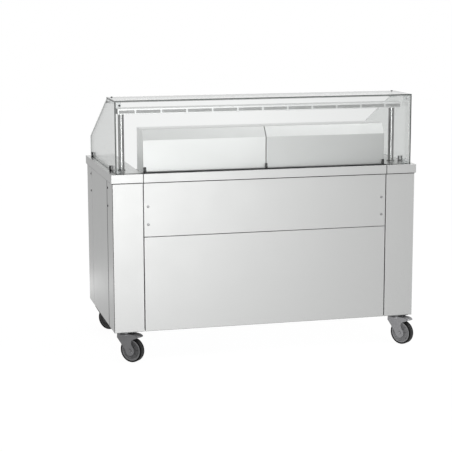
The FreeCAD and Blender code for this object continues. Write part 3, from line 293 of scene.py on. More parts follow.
# Castor plates: zinc plated steel with the upper race of the swivel and its kingpin.
# They are bolted under the column feet, and the fork turns on the pin below them.
def plated(name, tone, rough):
    """Dull zinc or brass: a faint crystal pattern under a film of floor dust."""
    finish = Finish(name)
    spangle = finish.cells(160.0)
    dust = finish.noise(38.0, 4.0)
    return finish.principled(
        base_color=finish.mottled(tone, 0.82, 1.12, spangle * 0.5 + dust * 0.5), metallic=0.75,
        roughness=rough + (dust - 0.5) * 0.2, normal=finish.bump(dust, 0.12, 0.0004))


ZINC_ROUGH = 0.46
castor_zinc = plated("castor_zinc", (0.165, 0.167, 0.17), ZINC_ROUGH)
eased("castor_plates", castor_zinc, 0.0015)


# Castor bolts: hexagon bolts through plate, column foot and floor, four to a castor.
# Each has a washer under its head and a nut on the floor panel, all zinc plated.
class Pattern(Graph):
    """A geometry tree that sets one shape at many places, each turned its own way."""

    def __init__(self, name, *sizes):
        super().__init__(bpy.data.node_groups.new(name, "GeometryNodeTree"))
        self.socket("Places", "INPUT", "NodeSocketGeometry")
        for label in sizes:
            self.socket(label, "INPUT", "NodeSocketFloat")
        self.socket("Finish", "INPUT", "NodeSocketMaterial")
        self.socket("Made", "OUTPUT", "NodeSocketGeometry")

    def socket(self, label, way, kind):
        self.tree.interface.new_socket(label, in_out=way, socket_type=kind)

    def given(self, label):
        return self.add("NodeGroupInput", output=label)

    def taper(self, sides, low, high, length, base, steps=1):
        """An upright prism or cone of that many sides, which stands on the level base."""
        cone = self.add("GeometryNodeMeshCone", {
            "Vertices": sides, "Side Segments": steps,
            "Radius Bottom": low, "Radius Top": high, "Depth": length})
        lift = self.add("ShaderNodeCombineXYZ", {"Z": base})
        return self.add("GeometryNodeTransform", {"Geometry": cone, "Translation": lift})

    def prism(self, sides, radius, length, base):
        return self.taper(sides, radius, radius, length, base)

    def spread(self, *shapes):
        """Ends the tree: the shapes together at every place, as plain geometry with its finish."""
        shape = self.add("GeometryNodeJoinGeometry", {0: list(shapes)})
        turn = self.add("GeometryNodeInputNamedAttribute", {"Name": "turn"},
                        data_type="FLOAT_VECTOR")
        turned_so = self.add("FunctionNodeEulerToRotation", {0: turn})
        many = self.add("GeometryNodeInstanceOnPoints", {
            "Points": self.given("Places"), "Instance": shape, "Rotation": turned_so})
        plain = self.add("GeometryNodeRealizeInstances", {0: many})
        made = self.add("GeometryNodeSetMaterial",
                        {"Geometry": plain, "Material": self.given("Finish")})
        self.add("NodeGroupOutput", {0: made})

    def made(self, places, finish, **sizes):
        """The pattern at these places, taken off the tree as a plain shape."""
        points = bpy.data.meshes.new(self.tree.name)
        points.from_pydata([place.translation for place in places], [], [])
        turn = points.attributes.new("turn", "FLOAT_VECTOR", "POINT")
        for entry, place in zip(turn.data, places):
            entry.vector = place.to_euler()
        carrier = placed(self.tree.name, points)
        modifier = carrier.modifiers.new("pattern", "NODES")
        modifier.node_group = self.tree
        values = {key.replace("_", " ").title(): value for key, value in sizes.items()}
        values["Finish"] = finish
        for item in self.tree.interface.items_tree:
            if item.name in values:
                modifier[item.identifier] = values[item.name]
        evaluated = carrier.evaluated_get(bpy.context.evaluated_depsgraph_get())
        mesh = bpy.data.meshes.new_from_object(evaluated)
        bpy.data.objects.remove(carrier)
        return shape_of(mesh)


def facing(point, outward, along):
    """A place on a surface: its own Z points outward and its own X lies along."""
    z = Vector(outward).normalized()
    x = Vector(along).normalized()
    return Matrix.Translation(point) @ Matrix((x, z.cross(x), z)).transposed().to_4x4()


WASHER_SPREAD = 1.15
HEAD_STRAIGHT = 0.8
HEAD_CHAMFER = 0.86
NUT_SHARE = 0.9
bolts = Pattern("castor_bolts", "Head Radius", "Head Height", "Washer", "Shank Radius",
                "Nut Base", "Nut Height")
hexagon, washer_top, nut_height = map(bolts.given, ("Head Radius", "Washer", "Nut Height"))
head_rise = bolts.given("Head Height") - washer_top
shank_length = bolts.given("Nut Base") + nut_height
bolts.spread(
    bolts.prism(24, hexagon * WASHER_SPREAD, washer_top, 0.0),
    bolts.prism(6, hexagon, head_rise * HEAD_STRAIGHT, washer_top),
    bolts.taper(6, hexagon, hexagon * HEAD_CHAMFER, head_rise * (1.0 - HEAD_STRAIGHT),
                washer_top + head_rise * HEAD_STRAIGHT),
    bolts.prism(16, bolts.given("Shank Radius"), shank_length, 0.0 - shank_length),
    bolts.prism(6, hexagon, nut_height * NUT_SHARE,
                nut_height * (1.0 - NUT_SHARE) - shank_length))

CASTOR_X = 0.729
CASTOR_Y = 0.355
BOLT_X = 0.040
BOLT_Y = 0.026
PLATE_UNDER = 0.155
bolt_places = [facing((sx * CASTOR_X + bx * BOLT_X, sy * CASTOR_Y + by * BOLT_Y, PLATE_UNDER),
                      (0, 0, -1), RIGHT)
               for sx in (-1, 1) for sy in (-1, 1) for bx in (-1, 1) for by in (-1, 1)]
bolt_shape = bolts.made(bolt_places, castor_zinc, head_radius=0.0068, head_height=0.005,
                        washer=0.0012, shank_radius=0.004, nut_base=0.010, nut_height=0.006)
new_piece("castor_bolts", bolt_shape, [castor_zinc], "fastener", "fasteners")


# Castor forks: pressed steel, two cheeks under a round crown that runs on the race.
# The axle bolt goes through both eyes and is held by hexagons outside them.
# Their zinc carries painted light: the front right one is painted the brightest, and the rear ones
# nearly black, as painted shade under the cabinet.
CORNERS = ("front_left", "front_right", "rear_left", "rear_right")
CASTOR_TURN = dict(zip(CORNERS, (43.5, 55.0, 45.0, 56.0)))
# Painted light and shade in the forks' zinc: brighter at the front right, nearly black at the rear.
FORK_LIT_AND_SHADED_TONE = dict(zip(CORNERS, (0.165, 0.29, 0.045, 0.045)))
TRAIL = 0.040
WHEEL_RADIUS = 0.0625
AXLE = (TRAIL, 0.0, WHEEL_RADIUS)
CROWN_TOP = 0.1467
CROWN = [(0.0062, 0.1370), (0.0350, 0.1370), (0.0372, 0.1382), (0.0380, 0.1402),
         (0.0376, 0.1432), (0.0356, 0.1456), (0.0320, CROWN_TOP), (0.0062, CROWN_TOP)]
CHEEK_INNER = 0.022
CHEEK_OUTER = 0.027
CHEEK_ROUND = 0.0011
CHEEK_TOP = [(-0.0310, CROWN_TOP), (0.0460, CROWN_TOP)]
CHEEK_FRONT = [(0.0535, 0.1436), (0.0565, 0.1385), (0.0570, 0.1300)]
CHEEK_WING = [(0.0600, 0.1466), (0.0720, 0.1448), (0.0815, 0.1410), (0.0865, 0.1370),
              (0.0862, 0.1346), (0.0800, 0.1300), (0.0720, 0.1266), (0.0640, 0.1240)]
CHEEK_WAIST = (0.0485, 0.1040)
WAIST_PULLS = ((0.0480, 0.1180), (0.0490, 0.0920))
BACK_PULL = (-0.0100, 0.0920)
CHEEK_BACK = [(-0.0360, 0.1240), (-0.0345, 0.1430)]
EYE_RADIUS = 0.026
EYE_FRONT = (0.0621, 0.0763)
EYE_BACK = (0.0141, 0.0630)
CORE = 0.0002
AXLE_RADIUS = 0.005
WASHER_RADIUS = 0.0105
WASHER_FACE = 0.0281
AXLE_NUT = [(CORE, WASHER_FACE), (0.0088, WASHER_FACE), (0.0088, 0.0302), (0.0074, 0.0310),
            (CORE, 0.0310)]


def cool_grey(level):
    return (level, level, level * 1.03)


def castor_place(corner):
    """From the castor's own frame, with +X along its trail, to its corner of the cabinet."""
    x = CASTOR_X if corner.endswith("right") else -CASTOR_X
    y = CASTOR_Y if corner.startswith("rear") else -CASTOR_Y
    turn = Matrix.Rotation(-radians(CASTOR_TURN[corner]), 4, "Z")
    return Matrix.Translation((x, y, 0.0)) @ turn


def pin_place(corner, point=AXLE):
    """From the frame of a pin across the castor, with +Z along it, to its corner."""
    return castor_place(corner) @ Matrix.Translation(point) @ Matrix.Rotation(radians(90), 4, "X")


def bow(start, pull, end, steps=7):
    """Points along a bent edge that leaves start and comes to end, drawn towards pull."""
    a, b, c = Vector(start), Vector(pull), Vector(end)
    return [(1 - t) ** 2 * a + 2 * t * (1 - t) * b + t * t * c
            for t in (i / steps for i in range(steps))]


def arc(centre, radius, start, end, steps):
    """Points along an arc, in degrees from the first axis to the second."""
    angles = [radians(start + (end - start) * i / steps) for i in range(steps + 1)]
    return [(centre[0] + radius * cos(a), centre[1] + radius * sin(a)) for a in angles]


def skin(shape, one, other):
    """The faces between two rings with as many points."""
    for i in range(len(one)):
        shape.faces.new((one[i - 1], one[i], other[i], other[i - 1]))


def pressed_plate(shape, outline, y0, y1, place):
    """A plate cut to an outline in the place's upright plane, from y0 to y1."""
    near = [shape.verts.new(place @ Vector((x, y0, z))) for x, z in outline]
    far = [shape.verts.new(place @ Vector((x, y1, z))) for x, z in outline]
    shape.faces.new(near)
    shape.faces.new(far[::-1])
    skin(shape, near, far)


def turned(shape, outline, place, steps):
    """A ring turned about the place's own Z from a closed outline of radius and height."""
    rings = [[shape.verts.new(place @ Vector((r * cos(a), r * sin(a), h)))
              for r, h in outline] for a in (2 * pi * step / steps for step in range(steps))]
    for one, other in zip(rings, rings[1:] + rings[:1]):
        skin(shape, one, other)


def rod(radius, low, high):
    """The outline of a turned rod or disc between two heights."""
    return [(CORE, low), (radius, low), (radius, high), (CORE, high)]


def faces_out(shape):
    """The shape with all its faces turned outwards."""
    bmesh.ops.recalc_face_normals(shape, faces=shape.faces[:])
    return shape


def fork_shape(corner):
    shape = bmesh.new()
    place = castor_place(corner)
    cheek = CHEEK_TOP + (CHEEK_WING if corner.startswith("front") else CHEEK_FRONT)
    cheek += bow(cheek[-1], WAIST_PULLS[0], CHEEK_WAIST)[1:]
    cheek += bow(CHEEK_WAIST, WAIST_PULLS[1], EYE_FRONT)
    cheek += arc((TRAIL, WHEEL_RADIUS), EYE_RADIUS, 32, -175, 16)
    cheek += bow(EYE_BACK, BACK_PULL, CHEEK_BACK[0])[1:] + CHEEK_BACK
    pressed_plate(shape, cheek, CHEEK_INNER, CHEEK_OUTER, place)
    pressed_plate(shape, cheek, -CHEEK_OUTER, -CHEEK_INNER, place)
    round_edges(shape, sharp_edges(shape, 0.001), CHEEK_ROUND, 2)
    turned(shape, CROWN, place, 48)
    axle = pin_place(corner)
    turned(shape, rod(AXLE_RADIUS, -CHEEK_OUTER, CHEEK_OUTER), axle, 24)
    for side in (-1, 1):
        turned(shape, rod(WASHER_RADIUS, side * CHEEK_OUTER, side * WASHER_FACE), axle, 28)
        turned(shape, [(radius, side * height) for radius, height in AXLE_NUT], axle, 6)
    return faces_out(shape)


# Lit and shaded copies of the castor zinc, one for each corner.
lit_and_shaded_zinc = {corner: plated(f"{corner}_zinc", cool_grey(tone), ZINC_ROUGH)
             for corner, tone in FORK_LIT_AND_SHADED_TONE.items()}
for corner in CORNERS:
    new_piece(f"{corner}_fork_pressing", fork_shape(corner), [lit_and_shaded_zinc[corner]], "zinc",
              f"{corner}_fork", body=f"{corner}_castor")


# Wheel discs: grey nylon mouldings with a boss, a thin web stiffened by ribs, and a broad rim.
# The boss runs on the axle bolt between the cheeks; the web is painted darker, painted shade from
# the rim, and like the forks the front right disc is painted brightest, the rear ones nearly black.
def moulded(name, tone, rough, shine=0.5):
    """Moulded plastic or rubber: a fine spark texture and a cloudy bloom."""
    finish = Finish(name)
    pit = finish.noise(900.0, 2.0)
    bloom = finish.noise(24.0, 3.0)
    return finish.principled(
        base_color=finish.mottled(tone, 0.85, 1.15, bloom), roughness=rough + (bloom - 0.5) * 0.16,
        specular_ior_level=shine, normal=finish.bump(pit, 0.15, 0.0002))


FOOT_DIAGONAL = sqrt(0.5)
TOP_DIAGONAL = sqrt(0.4)
bars = Pattern("bars", "Length", "Width", "Height")
bar_width = bars.given("Width")
bar = bars.taper(4, bar_width * FOOT_DIAGONAL, bar_width * TOP_DIAGONAL, bars.given("Height"), 0.0)
bar_square = bars.add("GeometryNodeTransform", {"Geometry": bar, "Rotation": (0.0, 0.0, pi / 4)})
bar_scale = bars.add("ShaderNodeCombineXYZ",
                     {"X": bars.given("Length") / bar_width, "Y": 1.0, "Z": 1.0})
bars.spread(bars.add("GeometryNodeTransform", {"Geometry": bar_square, "Scale": bar_scale}))


def spokes(count, second=REAR):
    """Unit vectors at equal steps round a circle, from +X towards the second axis."""
    angles = [2 * pi * i / count for i in range(count)]
    return [cos(a) * Vector(RIGHT) + sin(a) * Vector(second) for a in angles]


def both_halves(half):
    """A closed outline from the half of it that lies above the wheel's middle plane."""
    return half + [(radius, -height) for radius, height in reversed(half)]


# Painted light and shade in the discs' nylon: brightest at the front right, nearly black at the
# rear; WEB_SHADE paints each web darker still, as painted shade from the rim.
DISC_LIT_AND_SHADED_TONE = dict(zip(CORNERS, (0.15, 0.26, 0.035, 0.035)))
WEB_SHADE = dict(zip(CORNERS, (0.72, 0.92, 0.72, 0.72)))
RIB_COUNT = 8
RIB_OVERLAP = 0.001
WEB_HALF = 0.0075
WEB_SKIN = 0.0005
BOSS_EDGE = 0.0136
RIM_INNER = 0.0456
DISC_HALF = [(0.0051, 0.0210), (0.0122, 0.0210), (0.0130, 0.0202), (BOSS_EDGE, 0.0100),
             (0.0160, WEB_HALF), (0.0425, WEB_HALF), (RIM_INNER, 0.0090), (0.0464, 0.0136),
             (0.0472, 0.0144), (0.0542, 0.0144), (0.0550, 0.0136)]
lit_and_shaded_nylon = {corner: moulded(f"{corner}_nylon", cool_grey(tone), 0.48)
              for corner, tone in DISC_LIT_AND_SHADED_TONE.items()}
for corner in CORNERS:
    axle = pin_place(corner)
    from_cabinet = axle.inverted()

    def on_web(middle, normal):
        x, y, height = from_cabinet @ middle
        return BOSS_EDGE < hypot(x, y) < RIM_INNER and abs(height) < WEB_HALF + WEB_SKIN

    rib_places = [axle @ facing(spoke * (BOSS_EDGE + RIM_INNER) / 2
                                + Vector((0, 0, face * WEB_HALF)), (0, 0, face), spoke)
                  for face in (-1, 1) for spoke in spokes(RIB_COUNT)]
    shape = bars.made(rib_places, lit_and_shaded_nylon[corner], width=0.0030, height=0.0028,
                      length=RIM_INNER - BOSS_EDGE + RIB_OVERLAP)
    turned(shape, both_halves(DISC_HALF), axle, 56)
    disc = new_piece(f"{corner}_disc_moulding", faces_out(shape), [lit_and_shaded_nylon[corner]],
                     "grey_plastic", f"{corner}_wheel_disc", body=f"{corner}_wheel")
    # Painted shade on the web, darker than the rest of the disc.
    web_tone = cool_grey(DISC_LIT_AND_SHADED_TONE[corner] * WEB_SHADE[corner])
    repaint(disc, moulded(f"{corner}_web", web_tone, 0.6, 0.25), on_web)


# Tyres: dark elastic rings with round shoulders and two shallow grooves, bonded to the discs.
# Their tread is a little lighter than their walls.
TYRE_HALF = 0.018
SHOULDER = 0.006
GROOVE = 0.0611
WALL_SLOPE = 0.35
tyre_outline = [(0.0550, 0.0146), (0.0553, 0.0168), (0.0558, 0.0178)]
tyre_outline += arc((WHEEL_RADIUS - SHOULDER, TYRE_HALF - SHOULDER), SHOULDER, 90, 0, 6)
tyre_outline += [(WHEEL_RADIUS, 0.0086), (GROOVE, 0.0082), (GROOVE, 0.0068), (WHEEL_RADIUS, 0.0064)]
tyre_rubber = moulded("tyre_rubber", (0.008, 0.008, 0.0085), 0.74)
tyre_wall = moulded("tyre_wall", (0.004, 0.004, 0.0042), 0.8, 0.1)
for corner in CORNERS:
    shape = bmesh.new()
    turned(shape, both_halves(tyre_outline), pin_place(corner), 72)
    tyre = new_piece(f"{corner}_tyre_ring", faces_out(shape), [tyre_rubber], "tyre",
                     f"{corner}_tyre", body=f"{corner}_wheel")
    along_axle = pin_place(corner).to_3x3().col[2]
    repaint(tyre, tyre_wall, lambda middle, normal: abs(normal.dot(along_axle)) > WALL_SLOPE)


# Brake pedals: zinc plated visors on a pin between the cheeks of the two front forks, with grip
# bars. They carry on the line of the fork to a blunt beak; pressed down, their shoe comes on to
# the tyre. A row of their form gives the distance out, half the width, the top and the thickness.
PEDAL_FORM = ((0.0405, 0.0182, 0.1440, 0.0070), (0.0520, 0.0184, 0.1456, 0.0090),
              (0.0585, 0.0190, 0.1478, 0.0150), (0.0640, 0.0210, 0.1490, 0.0190),
              (0.0720, 0.0214, 0.1486, 0.0180), (0.0790, 0.0212, 0.1468, 0.0150),
              (0.0860, 0.0204, 0.1440, 0.0115), (0.0915, 0.0180, 0.1416, 0.0082),
              (0.0955, 0.0140, 0.1398, 0.0052), (0.0980, 0.0085, 0.1386, 0.0028))
PEDAL_PIVOT = (0.046, 0.0, 0.138)
BARREL = (0.0060, 0.0190, 0.0006, 28)
PIN = (0.0030, 0.0262, 0.0004, 20)
SHOE = [(0.0500, 0.1280), (0.0610, 0.1300), (0.0620, 0.1400), (0.0500, 0.1400)]
SHOE_HALF = 0.0170
GRIP_AT = (0.068, 0.074, 0.080, 0.086)
GRIP_SUNK = 0.0003
EDGE_FULLNESS = 0.3
FACE_FULLNESS = 0.5


def flat_round(half, top, thick, steps=20):
    """A section across the pedal: broad, thin, with round edges."""
    points = []
    for i in range(steps):
        c, s = cos(2 * pi * i / steps), sin(2 * pi * i / steps)
        points.append((half * copysign(abs(c) ** EDGE_FULLNESS, c),
                       top - thick / 2 + thick / 2 * copysign(abs(s) ** FACE_FULLNESS, s)))
    return points


def pedal_height(x):
    for (x0, _, top0, _), (x1, _, top1, _) in zip(PEDAL_FORM, PEDAL_FORM[1:]):
        if x0 <= x <= x1:
            return top0 + (top1 - top0) * (x - x0) / (x1 - x0)


def pedal_shape(corner):
    place = castor_place(corner)
    grips = [place @ facing((x, 0.0, pedal_height(x) - GRIP_SUNK), UP, REAR)
             for x in GRIP_AT]
    shape = bars.made(grips, lit_and_shaded_zinc[corner], length=0.030, width=0.0022, height=0.0012)
    sections = [[shape.verts.new(place @ Vector((x, y, z))) for y, z in flat_round(*section)]
                for x, *section in PEDAL_FORM]
    for one, other in zip(sections, sections[1:]):
        skin(shape, one, other)
    shape.faces.new(sections[0][::-1])
    shape.faces.new(sections[-1])
    pivot = pin_place(corner, PEDAL_PIVOT)
    for radius, half, cut, steps in (BARREL, PIN):
        turned(shape, [(CORE, -half), (radius - cut, -half), (radius, cut - half),
                       (radius, half - cut), (radius - cut, half), (CORE, half)], pivot, steps)
    pressed_plate(shape, SHOE, -SHOE_HALF, SHOE_HALF, place)
    return faces_out(shape)


# The pedals take their fork's zinc, with its painted light.
for corner in CORNERS[:2]:
    pedal = f"{corner}_brake_pedal"
    new_piece(f"{corner}_brake_tongue", pedal_shape(corner), [lit_and_shaded_zinc[corner]], SLOT_OF[pedal],
              pedal, body=f"{corner}_brake")


# Fan motor: a dark enamelled can with cooling fins, on a square foot that stands on the floor.
# Its shaft reaches up into the scroll.
def enamelled(name, tone, rough):
    """Sprayed enamel with an orange-peel surface and a little dust."""
    finish = Finish(name)
    peel = finish.noise(420.0, 2.0)
    dust = finish.noise(17.0, 5.0)
    return finish.principled(
        base_color=finish.mottled(tone, 1.0, 1.5, dust), roughness=rough + dust * 0.15,
        coat_weight=0.2, normal=finish.bump(peel, 0.2, 0.0003))


def bar_piece(name, places, material, slot, body="cabinet", **sizes):
    """A piece of its own made of like bars, such as fins, ribs or marks."""
    return new_piece(name, bars.made(places, material, **sizes), [material], slot, body=body)


FAN_X = -0.330
FAN_Y = -0.020
FIN_COUNT = 28
FIN_FOOT = 0.0595
FIN_MIDDLE = 0.213
motor_enamel = enamelled("motor_enamel", (0.035, 0.042, 0.048), 0.4)
eased("fan_motor", motor_enamel, 0.002, 0.0008)
fin_places = [facing(Vector((FAN_X, FAN_Y, FIN_MIDDLE)) + out * FIN_FOOT, out, UP)
              for out in spokes(FIN_COUNT)]
bar_piece("motor_fins", fin_places, motor_enamel, "motor",
          length=0.068, width=0.0030, height=0.0065)


# Fan scroll and impeller: galvanised sheet with its large crystals, spot welded and folded.
# The impeller turns on the motor's shaft inside the scroll.
def galvanised(name, tone):
    finish = Finish(name)
    crystal = finish.cells(55.0, "Color")
    grey = finish.add("ShaderNodeSeparateColor", {0: crystal}, output="Red")
    grain = finish.noise(260.0, 3.0)
    return finish.principled(
        base_color=finish.mottled(tone, 0.7, 1.15, grey * 0.8 + grain * 0.2), metallic=0.9,
        roughness=0.32 + grey * 0.2, normal=finish.bump(grain, 0.08, 0.0003))


zinc_sheet = galvanised("zinc_sheet", (0.46, 0.48, 0.49))
eased("fan_scroll", zinc_sheet)
eased("fan_impeller", zinc_sheet, 0.0008, 0.0003, body="fan_rotor")


# Odour filter: a powder coated tray over the scroll's inlet, set with upright plates of carbon.
# It lifts off the scroll when the plates are spent.
def carbon(name):
    """Pressed carbon granules: black, rough and lumpy."""
    finish = Finish(name)
    granule = finish.cells(330.0)
    colour = finish.shade((0.008, 0.008, 0.009), (0.045, 0.045, 0.047), granule)
    return finish.principled(base_color=colour, roughness=0.75 + granule * 0.25,
                             normal=finish.bump(granule, 0.6, 0.0012))


TRAY_REACH = 0.196
TRAY_FLOOR = 0.389
filter_tray = eased("carbon_filter", enamelled("tray_enamel", (0.055, 0.058, 0.062), 0.5),
                    0.0015, 0.0004)
repaint(filter_tray, carbon("carbon_plate"),
        lambda middle, normal: abs(middle.x - FAN_X) < TRAY_REACH
        and abs(middle.y - FAN_Y) < TRAY_REACH and middle.z > TRAY_FLOOR)


# Appliance bay: stainless walls and a shelf for two table-top cookers, open to the cook.
# The front wall is pierced for the ducts that lead down from the hoods.
eased("bay_walls", bay_steel)
eased("device_shelf", bay_steel)


# Control strip: a hemmed stainless strip above the doors with black knob plates on its face.
# The knob plates carry printed marks, and the cable gland below has a ribbed nut.
CONTROL_Z = 0.599
SWITCH_X = -0.470
FAN_KNOB_X = -0.330
MARK_FOOT = 0.4139
GLAND = (-0.718, 0.4175, 0.230)
GLAND_RIBS = 12
GLAND_RIB_FOOT = 0.0137
black_plastic = moulded("black_plastic", (0.03, 0.03, 0.032), 0.42)
mark_white = moulded("mark_white", (0.62, 0.62, 0.60), 0.5)
eased("control_panel", panel_steel)
eased("control_bezels", black_plastic, 0.0012, 0.0007)


def dial_places(x, radius, last, count):
    """Marks round a knob, clockwise as the cook sees them, from upright to the last angle."""
    places = []
    for i in range(count):
        angle = radians(last * i / (count - 1))
        out = Vector((-sin(angle), 0.0, cos(angle)))
        places.append(facing(Vector((x, MARK_FOOT, CONTROL_Z)) + out * radius, REAR, out))
    return places


dial_marks = dial_places(FAN_KNOB_X, 0.0225, 270, 10) + dial_places(SWITCH_X, 0.0245, 90, 2)
bar_piece("dial_marks", dial_marks, mark_white, "grey_plastic",
          length=0.0042, width=0.0011, height=0.0004)
gland_ribs = [facing(Vector(GLAND) + out * GLAND_RIB_FOOT, out, REAR)
              for out in spokes(GLAND_RIBS, UP)]
bar_piece("gland_ribs", gland_ribs, black_plastic, "black_plastic",
          length=0.012, width=0.0030, height=0.0014)


# Knobs and rocker: a red main switch, a black fan knob and a light rocker; the knobs have a white
# line. They are pushed on to spindles that go through their plates.
POINTER_FOOT = 0.4331
red_plastic = moulded("red_plastic", (0.42, 0.016, 0.012), 0.34)
knobs = (("main_switch_knob", "main_switch", SWITCH_X, 0.021, red_plastic),
         ("fan_speed_knob", "fan_control", FAN_KNOB_X, 0.017, black_plastic))
for node, body, x, radius, plastic in knobs:
    eased(node, plastic, 0.0015, 0.0009, body)
    pointer = facing((x, POINTER_FOOT, CONTROL_Z + radius * 0.5), REAR, UP)
    bar_piece(node + "_pointer", [pointer], mark_white, "grey_plastic", body,
              length=radius * 0.8, width=0.0016, height=0.0005)
eased("light_rocker", black_plastic, 0.0008, 0.0005, "light_switch")


# Sockets: two flush sockets in black plastic with sprung lids and brass earth clips in the recess.
# The lids have three ribs along their free edge for the thumb.
SOCKET_X = (0.150, 0.330)
EARTH_Y = 0.4045
EARTH_REACH = 0.0199
LID_FACE = 0.4185
THUMB_DROPS = (0.0185, 0.0215, 0.0245)
brass = plated("brass", (0.62, 0.42, 0.16), 0.3)
eased("power_sockets", black_plastic, 0.001, 0.0006)
clip_places = [facing((x, EARTH_Y, CONTROL_Z + side * EARTH_REACH), (0, 0, -side), REAR)
               for x in SOCKET_X for side in (-1, 1)]
bar_piece("earth_clips", clip_places, brass, "fastener", length=0.014, width=0.0050, height=0.0018)
for side, x in zip(SIDES, SOCKET_X):
    eased(f"{side}_socket_lid", black_plastic, 0.001, 0.0007, f"{side}_lid")
    thumb = [facing((x, LID_FACE, CONTROL_Z - drop), REAR, RIGHT) for drop in THUMB_DROPS]
    bar_piece(f"{side}_lid_ribs", thumb, black_plastic, "black_plastic", f"{side}_lid",
              length=0.024, width=0.0014, height=0.0009)


# Doors: two hemmed stainless leaves on pins, with square bow handles where they meet.
# The pins turn in the floor panel below and in the control strip above.
tube_steel = brushed_steel("tube_steel", (0.30,) * 3, "z", 0.28, 0.35)
for side in SIDES:
    eased(f"{side}_door", panel_steel, body=f"{side}_door_leaf")
    eased(f"{side}_door_handle", tube_steel, 0.002, 0.001, f"{side}_door_leaf")
eased("door_pins", castor_zinc, 0.0008, 0.0005)


# Counters and fascia: stainless sheet folded down to a skirt, two end counters and a front fascia.
# They are set on the columns, and their tops are painted lighter, as painted light. A dark strip
# under the skirt is painted shadow, the shadow line under its lip; dark strips also close the two
# seams in it and the front seams of the side panels, and a steel coloured one their rear seams.
SQUARE_ON = 0.9
# Painted light: the upward faces of the counters and fascia are made lighter.
wiped_steel = brushed_steel("wiped_steel", (0.66, 0.665, 0.66), rough=0.28)
for node in ("left_counter", "right_counter", "front_fascia"):
    repaint(eased(node, panel_steel), wiped_steel, lambda middle, normal: normal.z > SQUARE_ON)


TRIM_EDGE = 0.003


def trim(name, blocks, material, slot, radius, steps=1):
    """A piece of cuboids, each given by its ranges along X, Y and Z, with rounded edges."""
    shape = bmesh.new()
    for ranges in blocks:
        low, high = map(Vector, zip(*ranges))
        made = bmesh.ops.create_cube(shape, size=1.0)["verts"]
        bmesh.ops.scale(shape, vec=tuple(abs(span) for span in high - low), verts=made)
        bmesh.ops.translate(shape, vec=(low + high) / 2, verts=made)
    round_edges(shape, sharp_edges(shape, TRIM_EDGE), radius, steps)
    return new_piece(name, shape, [material], slot)


def pair(xs, ys, zs):
    """A block on the right and its twin on the left."""
    return [((side * xs[0], side * xs[1]), ys, zs) for side in (1, -1)]


BODY_Y = 0.410
STRIP_THICK = 0.0012
STRIP_Z = (0.9138, 0.918)
SEAM_X = (0.6375, 0.6405)
SEAM_Y = (-0.4204, -0.4192)
SEAM_Z = (0.919, 0.962)
SIDE_SEAM_X = (0.7935, 0.7956)
SIDE_SEAM_Z = (0.164, STRIP_Z[0])
SIDE_SEAM_FRONT = (-0.2560, -0.2480)
SIDE_SEAM_REAR = (0.2500, 0.2540)
STEEL_FROM = 0.249
black_rubber = moulded("black_rubber", (0.007, 0.007, 0.008), 0.75)
strips = [((-BODY_X, BODY_X), (-BODY_Y - STRIP_THICK, -BODY_Y), STRIP_Z)]
strips += pair((BODY_X, BODY_X + STRIP_THICK), (-BODY_Y, BODY_Y), STRIP_Z)
strips += pair(SEAM_X, SEAM_Y, SEAM_Z)
strips += pair(SIDE_SEAM_X, SIDE_SEAM_FRONT, SIDE_SEAM_Z)
strips += pair(SIDE_SEAM_X, SIDE_SEAM_REAR, SIDE_SEAM_Z)
# Painted shadow under the skirt, in black strips; the seam strips are dark joints.
skirt_shade_strips = trim("counter_painted_shadow_strip", strips, black_rubber, "black_rubber", 0.0003)
repaint(skirt_shade_strips, column_steel, lambda middle, normal: middle.y > STEEL_FROM)


# Suction hoods: two boxes of satin stainless sheet with a sloping shoulder, open to the bay.
# They stand on the fascia over its duct openings; their tops and left ends carry a painted
# highlight. Their fronts and slopes carry painted light too: the left one's front is painted
# brighter than the right one's, and the right one has the brighter slope.
HOOD_ROUGH = 0.6
SLOPING = 0.4
# Painted highlight on the hoods' tops and left ends.
hood_top = brushed_steel("hood_top", (0.84, 0.845, 0.84), rough=0.3)
for side, front, slope in (("left", 0.75, 0.77), ("right", 0.62, 0.82)):
    # Lit and shaded copies of the hood steel, a painted brightness for each front and slope.
    lit_hood_front = brushed_steel(f"{side}_hood_front", (front,) * 3, rough=HOOD_ROUGH)
    lit_hood_slope = brushed_steel(f"{side}_hood_slope", (slope,) * 3, rough=HOOD_ROUGH)
    hood = eased(f"{side}_hood", lit_hood_front)
    repaint(hood, lit_hood_slope,
            lambda middle, normal: SLOPING < normal.z < SQUARE_ON and normal.y < 0)
    repaint(hood, hood_top, lambda middle, normal: normal.z > SQUARE_ON or normal.x < -SQUARE_ON)


# Grease filters: bare metal frames with two rows of overlapping baffles and pull tabs.
# They slide out of the hoods towards the cook for washing.
filter_metal = brushed_steel("filter_metal", (0.48, 0.485, 0.49), "z", 0.36, 0.7)
for side in SIDES:
    eased(f"{side}_grease_filter", filter_metal, 0.001, 0.0004, f"{side}_filter")


# Seals and clamps: a grey strip with black corner clips along the foot of the hoods, steel rings
# round the posts, and slim nylon clamps that grip the foot of the side panes, grey on the right.
# A tapered rubber foot is pushed over each clip, and a black strip runs along the front pane's foot;
# the black of the clips, their feet and this strip is painted shade, for the dark gap under the
# hoods.
POST_X = 0.720
POST_Y = -0.257
RING_RADIUS = 0.024
COUNTER_TOP = 0.963
HOOD_SEAL_Y = -0.380
HOOD_SEAL_TOP = 0.973
CLAMP_X = 0.740
seals = eased("seals_and_clamps", black_rubber, 0.001, 0.0006)
repaint(seals, moulded("hood_seal_grey", (0.50,) * 3, 0.6),
        lambda middle, normal: middle.y < HOOD_SEAL_Y and middle.z < HOOD_SEAL_TOP)
repaint(seals, moulded("clamp_grey", (0.13, 0.13, 0.133), 0.5),
        lambda middle, normal: middle.x > CLAMP_X)
repaint(seals, tube_steel, lambda middle, normal:
        hypot(abs(middle.x) - POST_X, middle.y - POST_Y) < RING_RADIUS)
PANE_FRONT = -0.402
SHADOW_STRIP_X = (-0.640, 0.640)
